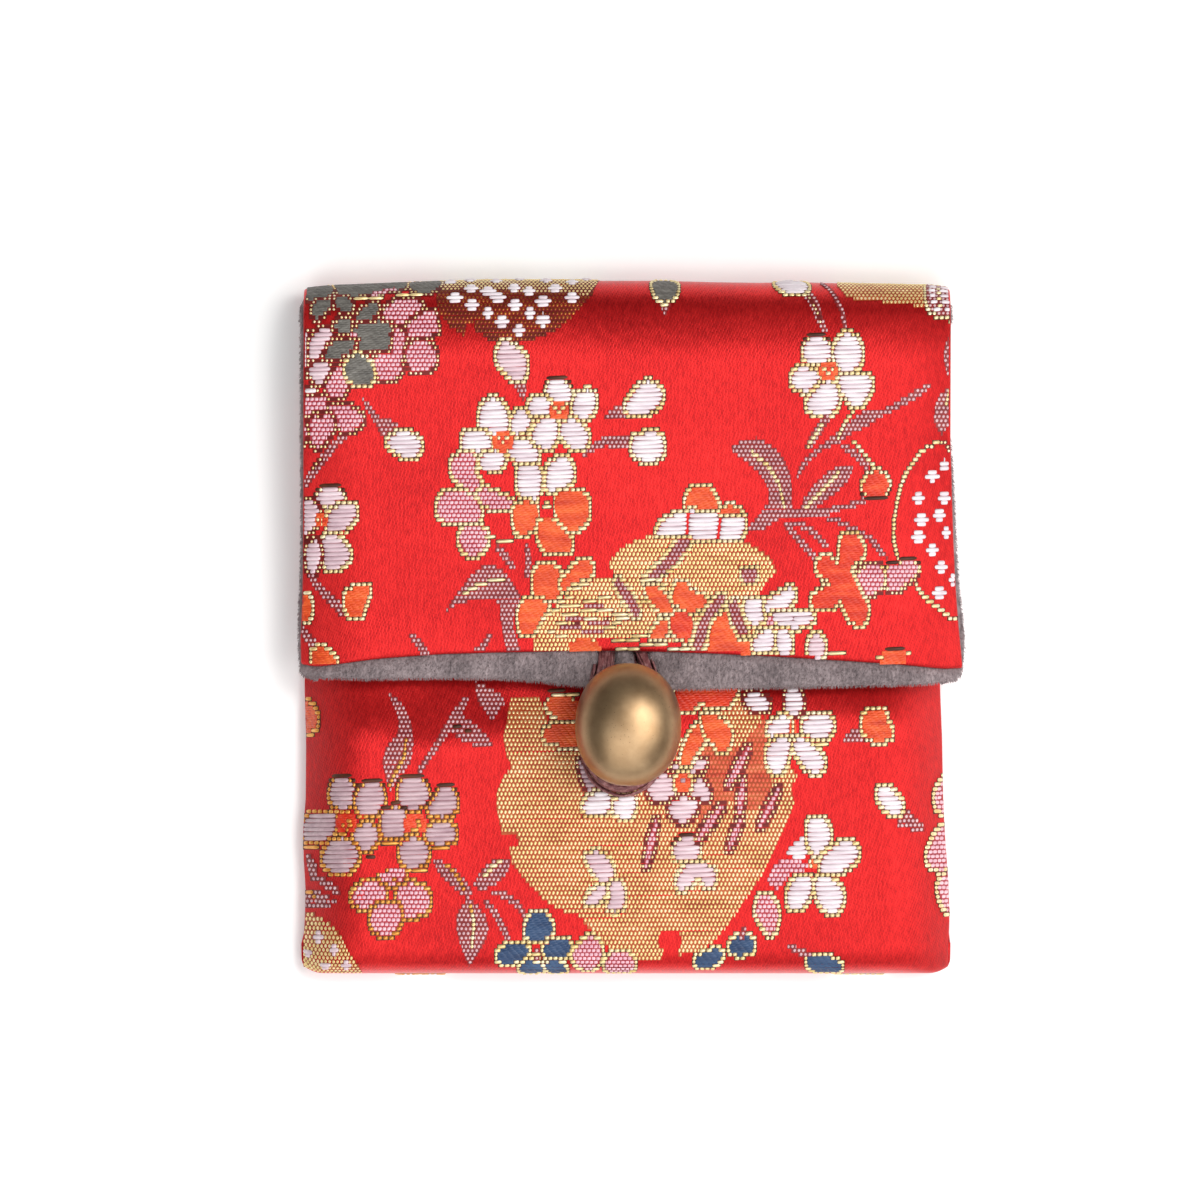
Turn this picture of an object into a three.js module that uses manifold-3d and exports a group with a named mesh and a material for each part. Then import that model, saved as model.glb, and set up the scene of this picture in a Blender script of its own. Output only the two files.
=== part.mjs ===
// Jewelry pouch: a square, fold-over pouch of figured silk brocade with a
// grey velvet lining, closed by an ovoid brass button and a cord loop.
//
// Frame: millimetres. The pouch lies on its back, back panel on z = 0,
// +Z out of the front, +Y towards the top fold, +X to the right as one looks
// at the front. The origin is under the middle of the object.
import * as THREE from 'three';
import { mergeVertices } from 'three/addons/utils/BufferGeometryUtils.js';
import Module from 'manifold-3d';

const wasm = await Module();
wasm.setup();

// ---------------------------------------------------------------- dimensions
const TOP_Y = 45.2;            // top fold
const BOTTOM_Y = -45.2;        // bottom fold
const MOUTH_Y = 30.0;          // the front panel's edge, under the flap
const BODY_LEFT = -43.0;       // side seams of the pocket
const BODY_RIGHT = 41.3;
const FLAP_LEFT = -43.0;       // brocade of the flap, left edge
const FLAP_RIGHT_TOP = 41.7;   // right edge at the top fold
const FLAP_RIGHT_HEM = 43.0;   // right edge at the hem: the flap spreads a little
const HEM_MID_Y = -3.3;        // brocade hem of the flap, in the middle
const HEM_SIDE_Y = -5.3;       // and at its corners
const ROLL_LEFT_Y = -6.6;      // velvet edge below the hem: left, middle, right
const ROLL_MID_Y = -8.2;
const ROLL_RIGHT_Y = -7.4;
const ROLL_SIDE = 0.7;         // velvet shown past the flap's side edges

const T_BROCADE = 0.8;         // brocade with its backing
const T_LINING = 1.2;          // velvet in the pocket
const T_FLAP_LINING = 1.6;     // velvet in the flap
const GAP = 0.3;               // between brocade and lining
const POCKET = 4.6;            // inner height of the pocket
const FLAP_GAP = 0.4;          // under the flap

const BODY_H = 2 * T_BROCADE + 2 * GAP + 2 * T_LINING + POCKET;               // 9.2
const FLAP_H = BODY_H + FLAP_GAP + T_FLAP_LINING + GAP + T_BROCADE;           // 12.3
const SEAM_Z = 2.4;            // height of the side seams
const EDGE_W = 9.0;            // how far in from an edge the body is crowned
const EDGE_P = 2.2;
const FOLD_W = 4.6;            // the bottom fold's rounding
const FLAP_DROP_HEM = 3.2;     // how far the flap's sides sink at the hem
const FLAP_DROP_TOP = 0.9;     // and at the top fold

const BUTTON_X = -0.5, BUTTON_Y = -12.6;      // middle of the button
const BUTTON_RX = 6.85, BUTTON_RY = 7.95, BUTTON_RZ = 5.8;
const BUTTON_Z = 17.5;
const SHANK_R = 1.75, SHANK_WIRE = 0.5, SHANK_Z = 11.25;
const THREAD_R = 0.45;

const CORD_D = 2.1;            // the loop's cord

// ---------------------------------------------------------------- mesh tools
function geometryOf(positions, indices) {
  const g = new THREE.BufferGeometry();
  g.setAttribute('position', new THREE.BufferAttribute(new Float32Array(positions), 3));
  g.setIndex(indices);
  return mergeVertices(g, 1e-5);
}

function solid(geometry) {
  let g = geometry.clone();
  g.deleteAttribute('normal');
  g.deleteAttribute('uv');
  g = mergeVertices(g, 1e-5);
  const s = new wasm.Manifold(new wasm.Mesh({
    numProp: 3,
    vertProperties: new Float32Array(g.attributes.position.array),
    triVerts: new Uint32Array(g.index.array),
  }));
  return s.volume() < 0 ? flipped(g) : s;
}

function flipped(g) {
  const idx = Array.from(g.index.array);
  for (let i = 0; i < idx.length; i += 3) [idx[i], idx[i + 1]] = [idx[i + 1], idx[i]];
  return new wasm.Manifold(new wasm.Mesh({
    numProp: 3,
    vertProperties: new Float32Array(g.attributes.position.array),
    triVerts: new Uint32Array(idx),
  }));
}

function toGeometry(s) {
  const m = s.getMesh();
  const pos = [];
  for (let i = 0; i < m.vertProperties.length; i += m.numProp) {
    pos.push(m.vertProperties[i], m.vertProperties[i + 1], m.vertProperties[i + 2]);
  }
  const g = new THREE.BufferGeometry();
  g.setAttribute('position', new THREE.BufferAttribute(new Float32Array(pos), 3));
  g.setIndex(Array.from(m.triVerts));
  const flat = g.toNonIndexed();
  flat.computeVertexNormals();
  return flat;
}

// A closed sheet between two surfaces a(i, j) and b(i, j) over the same grid.
function sheet(a, b, nu, nv) {
  const pos = [], idx = [];
  for (const f of [a, b]) {
    for (let i = 0; i <= nu; i++) for (let j = 0; j <= nv; j++) pos.push(...f(i / nu, j / nv));
  }
  const N = (nu + 1) * (nv + 1), at = (k, i, j) => k * N + i * (nv + 1) + j;
  for (let i = 0; i < nu; i++) for (let j = 0; j < nv; j++) {
    idx.push(at(0, i, j), at(0, i + 1, j), at(0, i + 1, j + 1), at(0, i, j), at(0, i + 1, j + 1), at(0, i, j + 1));
    idx.push(at(1, i, j), at(1, i + 1, j + 1), at(1, i + 1, j), at(1, i, j), at(1, i, j + 1), at(1, i + 1, j + 1));
  }
  const rim = (q, p) => idx.push(at(0, ...p), at(1, ...q), at(0, ...q), at(0, ...p), at(1, ...p), at(1, ...q));
  for (let i = 0; i < nu; i++) { rim([i, nv], [i + 1, nv]); rim([i + 1, 0], [i, 0]); }
  for (let j = 0; j < nv; j++) { rim([0, j], [0, j + 1]); rim([nu, j + 1], [nu, j]); }
  return solid(geometryOf(pos, idx));
}

const lerp = (a, b, t) => a + (b - a) * t;
const clamp = (v, a = 0, b = 1) => Math.min(b, Math.max(a, v));
const smooth = (t) => { t = clamp(t); return t * t * (3 - 2 * t); };
// 1 at an edge, 0 from w inwards, and still growing just outside the edge
const falloff = (d, w, p) => Math.pow(1 - Math.min(1, d / w), p);

// Stations that crowd towards both ends, for edges that curve near their rim.
const crowd = (t) => 0.5 - 0.5 * Math.cos(Math.PI * lerp(t, 0.5 - 0.5 * Math.cos(Math.PI * t), 0.15));

// ---------------------------------------------------------------- the pocket
// Height of the body's outer surface over (x, y): crowned to the side seams,
// rounded at the bottom fold.
function bodyTop(x, y) {
  const d = Math.min(x - BODY_LEFT, BODY_RIGHT - x);
  const side = falloff(d, EDGE_W, EDGE_P);
  const fold = falloff(y - BOTTOM_Y, FOLD_W, 2.0);
  const down = 1 - (1 - side) * Math.sqrt(Math.max(0, 1 - fold * fold));
  return BODY_H - (BODY_H - SEAM_Z) * down;
}
function bodyBottom(x, y) {
  const d = Math.min(x - BODY_LEFT, BODY_RIGHT - x, y - BOTTOM_Y);
  return 1.2 * falloff(d, 1.8, 2.0);
}
function slope(f, x, y) {
  const e = 0.05, gx = (f(x + e, y) - f(x - e, y)) / (2 * e), gy = (f(x, y + e) - f(x, y - e)) / (2 * e);
  return Math.min(Math.hypot(gx, gy), 1.1);
}
const under = (d) => (x, y) => bodyTop(x, y) - d * Math.hypot(1, slope(bodyTop, x, y));
const over = (d) => (x, y) => bodyBottom(x, y) + d;

function lens(top, bottom, inset, y0, y1, nu, nv, round = 0) {
  const at = (f) => (u, v) => {
    const y = lerp(y0, y1, 1 - Math.cos(v * Math.PI / 2));
    const r = round && y < y0 + round ? round - Math.sqrt(Math.max(0, round * round - (y0 + round - y) ** 2)) : 0;
    const x = lerp(BODY_LEFT + inset + r, BODY_RIGHT - inset - r, crowd(u));
    return [x, y, f(x, y)];
  };
  return sheet(at(top), at(bottom), nu, nv);
}

const NX = 18, NY = 14;
const brocadeCup = lens(bodyTop, bodyBottom, 0, BOTTOM_Y, MOUTH_Y, NX, NY, 2.0)
  .subtract(lens(under(T_BROCADE), over(T_BROCADE), 1.6, BOTTOM_Y + 1.8, MOUTH_Y + 2, NX - 2, NY - 2, 0.8));
const liningCup = lens(under(T_BROCADE + GAP), over(T_BROCADE + GAP), 2.1, BOTTOM_Y + 2.2, MOUTH_Y + 0.5, NX - 2, NY - 2, 0.8)
  .subtract(lens(under(T_BROCADE + GAP + T_LINING), over(T_BROCADE + GAP + T_LINING), 4.0, BOTTOM_Y + 4.4, MOUTH_Y + 2, NX - 4, NY - 4));

// ---------------------------------------------------------------- the flap
// Height of the flap's outer surface: its sides sink a little, more so
// towards the hem.
const flapRight = (y) => lerp(FLAP_RIGHT_HEM, FLAP_RIGHT_TOP, clamp((y - HEM_MID_Y) / (TOP_Y - HEM_MID_Y)));
function flapTop(x, y) {
  const d = Math.min(x - FLAP_LEFT, flapRight(y) - x);
  const drop = lerp(FLAP_DROP_HEM, FLAP_DROP_TOP, smooth((y + 5) / 45));
  return FLAP_H - drop * falloff(d, EDGE_W, EDGE_P);
}

// The strip runs up the back from inside the back panel, round the top fold
// and down the flap. s goes 0..1 along it; offset is measured inwards.
const S_BACK = 0.16, S_FOLD = 0.42;
function strip(u, s, offset, hemY, xs) {
  const [x0, x1] = xs(s);
  const x = lerp(x0, x1, u);
  const h = flapTop(x, TOP_Y - 8);
  const r = h / 2, yc = TOP_Y - r - 0.6 * Math.pow(Math.abs(x / 43), 6);
  if (s < S_BACK) {
    const k = s / S_BACK;
    return [x, lerp(MOUTH_Y - 4, yc, k), lerp(bodyBottom(x, 0), 0, smooth(k * 1.4 - 0.4)) + offset];
  }
  if (s < S_FOLD) {
    const a = -Math.PI / 2 + Math.PI * (s - S_BACK) / (S_FOLD - S_BACK);
    return [x, yc + (r - offset) * Math.cos(a), r + (r - offset) * Math.sin(a)];
  }
  const t = (s - S_FOLD) / (1 - S_FOLD);
  const y = lerp(yc, hemY(u), t);
  return [x, y, lerp(h, flapTop(x, y), smooth(t * 3)) - offset];
}

const hemBrocade = (u) => lerp(HEM_MID_Y, HEM_SIDE_Y, Math.pow(Math.abs(2 * u - 1), 3));
const hemVelvet = (u) => u < 0.5
  ? lerp(ROLL_LEFT_Y, ROLL_MID_Y, smooth(u * 2)) + 0.9 * falloff(u * 86, 2.2, 2)
  : lerp(ROLL_MID_Y, ROLL_RIGHT_Y, smooth(u * 2 - 1)) + 0.9 * falloff((1 - u) * 86, 2.2, 2);

const flapX = (s) => {
  const t = clamp((s - S_FOLD) / (1 - S_FOLD));
  return [lerp(BODY_LEFT + 0.4, FLAP_LEFT, clamp(s / S_BACK)), lerp(lerp(BODY_RIGHT - 0.2, FLAP_RIGHT_TOP, clamp(s / S_BACK)), FLAP_RIGHT_HEM, t)];
};
const liningX = (s) => {
  const [a, b] = flapX(s);
  const grow = lerp(2.6, -ROLL_SIDE, smooth((s - S_BACK) / (S_FOLD - S_BACK + 0.08)));
  return [a + grow, b - grow];
};
const liningT = (s) => lerp(T_LINING, T_FLAP_LINING, smooth((s - S_BACK) / (S_FOLD - S_BACK)));

// Sheet stations: s along the strip, u across it.
function stripSolid(outer, thickness, hemY, xs, ns, nu) {
  // most stations lie round the fold
  const st = (v) => v < 0.1 ? S_BACK * v / 0.1
    : v < 0.6 ? S_BACK + (S_FOLD - S_BACK) * (v - 0.1) / 0.5
      : S_FOLD + (1 - S_FOLD) * (v - 0.6) / 0.4;
  const a = (v, u) => strip(crowd(u), st(v), outer, hemY, xs);
  const b = (v, u) => strip(crowd(u), st(v), outer + thickness(st(v)), hemY, xs);
  return sheet(a, b, ns, nu);
}

const NS = 20, NU = 12;
const brocadeFlap = stripSolid(0, () => T_BROCADE, hemBrocade, flapX, NS, NU);
const liningFlap = stripSolid(T_BROCADE + GAP, liningT, hemVelvet, liningX, NS, NU);

// ---------------------------------------------------------------- the button
function ovoid(rx, ry, rz, n, m) {
  // a lathed body whose profile is a little squarer than an ellipse
  const profile = [];
  for (let i = 0; i <= m; i++) {
    const a = -Math.PI / 2 + Math.PI * i / m;
    const c = Math.pow(Math.abs(Math.cos(a)), 2 / 2.15), s = Math.sign(Math.sin(a)) * Math.pow(Math.abs(Math.sin(a)), 2 / 2.15);
    profile.push(new THREE.Vector2(i === 0 || i === m ? 0 : c, s));
  }
  const g = new THREE.LatheGeometry(profile, n);   // around Y
  g.scale(rx, ry, rz);
  return g;
}

const bead = solid(ovoid(BUTTON_RX, BUTTON_RY, BUTTON_RZ, 28, 16).translate(BUTTON_X, BUTTON_Y, BUTTON_Z));
const shankRing = solid(new THREE.TorusGeometry(SHANK_R - SHANK_WIRE, SHANK_WIRE, 8, 16)
  .rotateY(Math.PI / 2).translate(BUTTON_X, BUTTON_Y, SHANK_Z));
const button = bead.add(shankRing);

// The thread: one ring of sewing thread through the shank's eye and the front
// panel. It is a racetrack in the XZ plane.
const THREAD_TOP = SHANK_Z, THREAD_BOTTOM = BODY_H - T_BROCADE + 0.1, THREAD_HALF = 1.3;
function racetrack(radius) {
  const zc = (THREAD_TOP + THREAD_BOTTOM) / 2, hz = (THREAD_TOP - THREAD_BOTTOM) / 2;
  const pts = [];
  for (let i = 0; i < 20; i++) {
    const a = 2 * Math.PI * i / 20;
    const c = Math.cos(a), s = Math.sin(a);
    pts.push(new THREE.Vector3(
      BUTTON_X + THREAD_HALF * Math.sign(c) * Math.pow(Math.abs(c), 0.7),
      BUTTON_Y,
      zc + hz * Math.sign(s) * Math.pow(Math.abs(s), 0.7)));
  }
  const curve = new THREE.CatmullRomCurve3(pts, true);
  const section = new THREE.Shape();
  for (let k = 0; k < 8; k++) {
    const a = 2 * Math.PI * k / 8, p = [radius * Math.cos(a), radius * Math.sin(a)];
    if (k === 0) section.moveTo(...p); else section.lineTo(...p);
  }
  section.closePath();
  return curve;
}
function ringTube(curve, radius, steps, sides) {
  const frames = curve.computeFrenetFrames(steps, true);
  const pos = [], idx = [];
  for (let i = 0; i < steps; i++) {
    const p = curve.getPointAt(i / steps), n = frames.normals[i], b = frames.binormals[i];
    for (let k = 0; k < sides; k++) {
      const a = 2 * Math.PI * k / sides;
      pos.push(p.x + radius * (Math.cos(a) * n.x + Math.sin(a) * b.x),
        p.y + radius * (Math.cos(a) * n.y + Math.sin(a) * b.y),
        p.z + radius * (Math.cos(a) * n.z + Math.sin(a) * b.z));
    }
  }
  for (let i = 0; i < steps; i++) for (let k = 0; k < sides; k++) {
    const i2 = (i + 1) % steps, k2 = (k + 1) % sides;
    idx.push(i * sides + k, i2 * sides + k, i2 * sides + k2, i * sides + k, i2 * sides + k2, i * sides + k2);
  }
  return solid(geometryOf(pos, idx));
}
const threadCurve = racetrack(THREAD_R);
const thread = ringTube(threadCurve, THREAD_R, 20, 8);
const threadRoom = ringTube(threadCurve, THREAD_R + GAP, 20, 8);

// ---------------------------------------------------------------- the loop
// Both ends are sewn in between the flap's brocade and its velvet; the loop
// runs out under the hem, over the velvet, down behind the button and round.
const CORD_PATH = [
  [-3.0, 0.6, 10.15], [-3.1, -1.4, 10.15], [-3.4, -3.4, 10.45], [-3.8, -5.4, 11.3], [-4.3, -7.3, 11.5], [-4.8, -9.3, 11.0],
  [-5.3, -11.6, 10.65], [-5.6, -14.0, 10.6], [-5.5, -16.4, 10.6], [-4.7, -18.7, 10.6], [-3.2, -20.2, 10.6],
  [-1.2, -20.75, 10.6],
  [0.8, -20.2, 10.6], [2.3, -18.7, 10.6], [3.1, -16.4, 10.6], [3.2, -14.0, 10.6], [3.0, -11.6, 10.65],
  [2.7, -9.3, 11.0], [2.3, -7.3, 11.5], [1.8, -5.4, 11.3], [1.3, -3.4, 10.45], [0.9, -1.4, 10.15], [0.7, 0.6, 10.15],
].map((p) => new THREE.Vector3(...p));

function cordTube(radius, sides = 8, steps = 26) {
  const section = new THREE.Shape();
  for (let k = 0; k < sides; k++) {
    const a = 2 * Math.PI * (k + 0.5) / sides, p = [radius * Math.cos(a), radius * Math.sin(a)];
    if (k === 0) section.moveTo(...p); else section.lineTo(...p);
  }
  section.closePath();
  return solid(new THREE.ExtrudeGeometry(section, {
    extrudePath: new THREE.CatmullRomCurve3(CORD_PATH), steps, bevelEnabled: false,
  }));
}
const cord = cordTube(CORD_D / 2);
const cordRoom = cordTube(CORD_D / 2 + GAP);

// ---------------------------------------------------------------- joining up
// The cover's cup and strip are one cloth; so are the lining's. Where the cord
// and the thread pass, the cloth gives way around them.
const brocade = brocadeCup.add(brocadeFlap).subtract(threadRoom).subtract(cordRoom);
const lining = liningCup.add(liningFlap).subtract(threadRoom).subtract(cordRoom);

// ---------------------------------------------------------------- the group
const material = (color, roughness, metalness = 0) =>
  new THREE.MeshStandardMaterial({ color, roughness, metalness });

const pouch = new THREE.Group();
function add(name, geometry, mat) {
  const mesh = new THREE.Mesh(geometry, mat);
  mesh.name = name;
  pouch.add(mesh);
}
add('brocade_shell', toGeometry(brocade), material(0xd8322a, 0.45));
add('velvet_lining', toGeometry(lining), material(0x8c8789, 0.95));
add('button', toGeometry(button), material(0xa07f4f, 0.38, 0.9));
add('button_thread', toGeometry(thread), material(0x7a2a26, 0.8));
add('loop_cord', toGeometry(cord), material(0x8a5a58, 0.75));

export default pouch;
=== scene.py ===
# Jewelry pouch: red figured silk brocade, grey velvet lining, brass button and
# cord loop. Everything is in metres, in the frame of the CAD model.
import bpy
import math
import numpy as np
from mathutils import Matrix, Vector


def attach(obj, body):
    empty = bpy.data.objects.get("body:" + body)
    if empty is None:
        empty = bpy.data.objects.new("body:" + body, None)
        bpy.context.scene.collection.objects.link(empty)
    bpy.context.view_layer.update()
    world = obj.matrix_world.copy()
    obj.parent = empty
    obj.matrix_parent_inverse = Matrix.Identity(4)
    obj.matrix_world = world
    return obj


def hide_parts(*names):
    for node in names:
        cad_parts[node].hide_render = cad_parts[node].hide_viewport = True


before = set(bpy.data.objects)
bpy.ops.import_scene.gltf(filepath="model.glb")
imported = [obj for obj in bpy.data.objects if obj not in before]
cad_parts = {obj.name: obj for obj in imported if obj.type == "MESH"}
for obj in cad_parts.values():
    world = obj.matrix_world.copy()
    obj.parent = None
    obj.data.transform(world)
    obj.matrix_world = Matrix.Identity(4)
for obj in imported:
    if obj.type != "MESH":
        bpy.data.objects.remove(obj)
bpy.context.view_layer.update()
rng = np.random.default_rng(7)

MM = 0.001
PX = 0.13                     # millimetres to one unit of the weave's layout
CX, CY = 632.0, 627.0         # layout point over the origin


def X(px):
    return (np.asarray(px, float) - CX) * PX


def Y(py):
    return (CY - np.asarray(py, float)) * PX


# =====================================================================
# camera: straight down, the photograph's 1200 x 1200 frame is 156 mm wide
# =====================================================================
CAM_H = 1.9
cam_data = bpy.data.cameras.new("camera")
cam = bpy.data.objects.new("camera", cam_data)
bpy.context.scene.collection.objects.link(cam)
cam_data.sensor_fit = "HORIZONTAL"
cam_data.sensor_width = 36.0
SEEN = 1200 * PX * MM
cam_data.lens = 36.0 * (CAM_H - 0.010) / SEEN
cam_data.clip_start = 0.05
cam_data.clip_end = 10.0
cam.location = (float(X(600)) * MM, float(Y(600)) * MM, CAM_H)
cam.rotation_euler = (0.0, 0.0, 0.0)
bpy.context.scene.camera = cam


# =====================================================================
# small helpers
# =====================================================================
def smooth(t):
    t = np.clip(t, 0.0, 1.0)
    return t * t * (3 - 2 * t)


def lerp(a, b, t):
    return a + (b - a) * t


def fall(d, w, p):
    return (1.0 - np.minimum(1.0, d / w)) ** p


def bump(x, y, cx, cy, sx, sy, ang=0.0):
    c, s = math.cos(ang), math.sin(ang)
    u = (x - cx) * c + (y - cy) * s
    v = -(x - cx) * s + (y - cy) * c
    return np.exp(-(u / sx) ** 2 - (v / sy) ** 2)


def unit(v):
    return v / np.maximum(np.linalg.norm(v, axis=-1, keepdims=True), 1e-12)


def make_mesh(name, verts, faces, mat, smooth_shade=True, body="root"):
    """verts (n,3) in mm, faces (m,4) or (m,3) ints."""
    verts = np.asarray(verts, np.float64) * MM
    me = bpy.data.meshes.new(name)
    if isinstance(faces, (list, tuple)) and len(faces) and isinstance(faces[0], np.ndarray) and faces[0].ndim == 2:
        groups = faces
    else:
        groups = [np.asarray(faces)]
    loops = np.concatenate([g.reshape(-1) for g in groups]).astype(np.int32)
    totals = np.concatenate([np.full(len(g), g.shape[1]) for g in groups]).astype(np.int32)
    starts = np.concatenate([[0], np.cumsum(totals)[:-1]]).astype(np.int32)
    me.vertices.add(len(verts))
    me.vertices.foreach_set("co", verts.astype(np.float32).reshape(-1))
    me.loops.add(len(loops))
    me.loops.foreach_set("vertex_index", loops)
    me.polygons.add(len(totals))
    me.polygons.foreach_set("loop_start", starts)
    me.polygons.foreach_set("loop_total", totals)
    me.polygons.foreach_set("use_smooth", np.full(len(totals), bool(smooth_shade)))
    me.update(calc_edges=True)
    me.validate()
    ob = bpy.data.objects.new(name, me)
    bpy.context.scene.collection.objects.link(ob)
    me.materials.append(mat)
    if body:
        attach(ob, body)
    return ob


# =====================================================================
# outlines of the pouch, read as edges of the whole shape
# =====================================================================
def edge(points):
    v, x = zip(*points)
    v = np.array(v, float)
    x = np.array(x, float)

    def f(y_mm):
        vv = CY - np.asarray(y_mm, float) / PX
        return X(np.interp(vv, v, x))
    return f


FLAP_L = edge([(280, 304), (300, 302.5), (340, 303), (400, 302.5), (460, 302), (540, 301.5), (600, 300.5), (640, 298.5), (670, 299)])
FLAP_R = edge([(280, 950), (300, 952), (340, 951.5), (440, 951.5), (470, 952.5), (500, 953.5), (540, 955), (580, 957), (620, 960), (650, 963), (672, 965)])
BODY_L = edge([(390, 302), (690, 301), (740, 302.5), (800, 302), (830, 299.5), (860, 300), (890, 302), (920, 301.2), (960, 298.8), (976, 300)])
BODY_R = edge([(390, 944), (690, 944), (740, 946), (800, 947), (840, 949), (880, 952), (920, 953.5), (950, 952), (966, 950), (976, 947)])


def along_x(points):
    x, v = zip(*points)
    x = X(x)
    v = Y(v)

    def f(x_mm):
        return np.interp(x_mm, x, v)
    return f


def soft_along(points, width=1.6):
    """a smoothed version of along_x"""
    f = along_x(points)
    xs = np.linspace(-46, 46, 800)
    ys = f(xs)
    k = np.exp(-(np.linspace(-3, 3, int(width * 800 / 92 * 3) | 1)) ** 2)
    k /= k.sum()
    pad = len(k) // 2
    ys2 = np.convolve(np.pad(ys, pad, mode="edge"), k, mode="valid")

    def g(x_mm):
        return np.interp(x_mm, xs, ys2)
    return g


HEM = soft_along([(290, 662), (300, 664.5), (315, 667), (340, 664), (380, 659), (440, 654.5), (500, 652.5), (560, 651.3), (600, 651), (660, 652),
                  (720, 654), (780, 657), (840, 661), (900, 665), (945, 669), (966, 668)])
ROLL = soft_along([(290, 668), (297, 673), (305, 677), (340, 679.5), (364, 680.5), (430, 679), (499, 679.5), (545, 683), (580, 687), (620, 689.5), (660, 690),
                   (700, 689.5), (800, 688), (880, 686.5), (930, 685.5), (955, 682.5), (964, 679), (970, 672)], 1.2)

TOP_Y, BOT_Y = 45.2, -45.2
H_BODY, H_FLAP = 9.2, 12.3
SEAM_Z = 1.7
MOUTH_Y = 30.0
Y_TOPEDGE = soft_along([(296, 294), (302, 288), (330, 285), (360, 284), (420, 281.5), (480, 279.5), (540, 278), (600, 280), (660, 280), (720, 281.5), (760, 282),
                        (800, 281.5), (840, 282.5), (870, 283.5), (930, 284.5), (948, 287), (956, 293)], 1.2)


# ---------------------------------------------------------------- body front
def body_z(x, y):
    d = np.minimum(x - BODY_L(y), BODY_R(y) - x)
    side = fall(np.maximum(d, 0.0), 9.0, 2.2)
    z = H_BODY - (H_BODY - SEAM_Z) * side
    # soft creases and hollows of the slack silk over the pocket
    w = np.zeros_like(z)
    for cx, cy, sx, sy, a, h in BODY_FORM:
        w += h * bump(x, y, float(X(cx)), float(Y(cy)), sx, sy, a)
    # the mouth sinks under the flap, most at the two sides
    xa = np.abs(x + 0.5)
    depth = 1.7 + 0.85 * smooth((xa - 6) / 14) - 0.45 * smooth((x - 14) / 10)
    w = w - depth * np.exp(-((y + 4.0) / (7.6 - 1.8 * smooth((x - 5) / 15))) ** 2)
    return z + w * (1 - 0.6 * side) * smooth((y - BOT_Y) / 6)


BODY_FORM = [
    # px, py, sigma mm across, sigma mm along, angle, height mm
    (365, 735, 6.0, 3.2, 0.45, 0.34), (440, 752, 8.0, 3.0, 0.12, 0.40), (322, 722, 2.2, 5.0, 0.0, 0.25), (402, 712, 3.2, 5.0, -0.5, -0.30),
    (340, 790, 4.0, 6.0, 0.3, 0.22), (560, 760, 12, 7, 0, 0.25), (700, 800, 14, 9, 0, 0.22),
    (880, 760, 7, 8, 0, 0.20), (890, 728, 7.0, 3.4, -0.15, 0.22), (350, 900, 7, 6, 0, 0.2),
    (640, 930, 20, 4, 0, 0.15), (470, 830, 3.0, 12, 0.1, -0.18), (860, 890, 3.0, 9, -0.2, -0.15), (915, 830, 3.0, 14, 0.05, 0.18),
    (330, 850, 1.6, 7, 0.05, -0.18), (520, 705, 3.0, 2.2, 0.0, -0.25),
]
R_BOT = 4.0
YB_C = BOT_Y + R_BOT


SQ = 0.66
_sa = np.linspace(0.0, math.pi / 2, 6000)
_ss = np.concatenate([[0.0], np.cumsum(np.hypot(np.diff(np.sin(_sa) ** SQ), np.diff(np.cos(_sa) ** SQ)))])
_ss = _ss / _ss[-1]


def even_angle(a):
    """angle on the squared-off fold that lies at an even arc length"""
    u = np.asarray(a, float) / (math.pi / 2)
    return np.where(u <= 1.0, np.interp(np.minimum(u, 1.0), _ss, _sa), math.pi - np.interp(np.clip(2.0 - u, 0.0, 1.0), _ss, _sa))


def P_body(x, V):
    """the front panel and round the bottom fold, x and V in layout units"""
    xm = X(x)
    V = np.asarray(V, float)
    y = Y(V)
    over = np.maximum(0.0, YB_C - y) / 4.9          # angle past the flat
    flat_y = np.maximum(y, YB_C)
    zt = body_z(xm, flat_y)
    zm = np.minimum(2.3, zt * 0.45)
    a = np.minimum(over, math.pi)
    corner = 1.1 * fall(np.maximum(np.minimum(xm - BODY_L(flat_y), BODY_R(flat_y) - xm), 0), 3.0, 2.0)
    ae = even_angle(a)
    sa = np.abs(np.sin(ae)) ** SQ
    ca = np.sign(np.cos(ae)) * np.abs(np.cos(ae)) ** SQ
    yy = np.where(over > 0, YB_C - (R_BOT - corner) * sa, y)
    zz = np.where(a <= math.pi / 2, zm + (zt - zm) * ca, zm + zm * ca)
    back = np.maximum(0.0, over - math.pi) * 4.9
    yy = np.where(over > math.pi, YB_C + back, yy)
    return np.stack([np.broadcast_to(xm, yy.shape), yy, np.where(over > 0, zz, zt)], -1)


# ---------------------------------------------------------------- flap
FLAP_FORM = [
    (340, 420, 5.0, 9.0, 0.0, 0.28), (430, 520, 10, 12, 0.2, 0.18), (560, 560, 16, 8, 0.0, 0.30), (700, 420, 18, 12, 0.0, 0.20),
    (460, 350, 8, 4.0, 0.1, 0.10),
    (860, 560, 9, 12, 0.0, 0.2), (930, 520, 2.5, 12, 0.0, -0.25), (390, 640, 8, 2.2, 0.12, 0.22), (330, 610, 3.0, 5.0, 0.2, -0.25),
    (520, 640, 7, 1.8, 0.0, -0.10), (870, 645, 9, 2.0, -0.1, 0.20), (570, 470, 3.0, 9, -0.4, -0.12),
    (905, 400, 3.5, 8, -0.1, 0.22), (330, 540, 1.8, 6, 0, -0.15), (626, 640, 6.0, 3.0, 0.0, 0.50),
]


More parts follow.
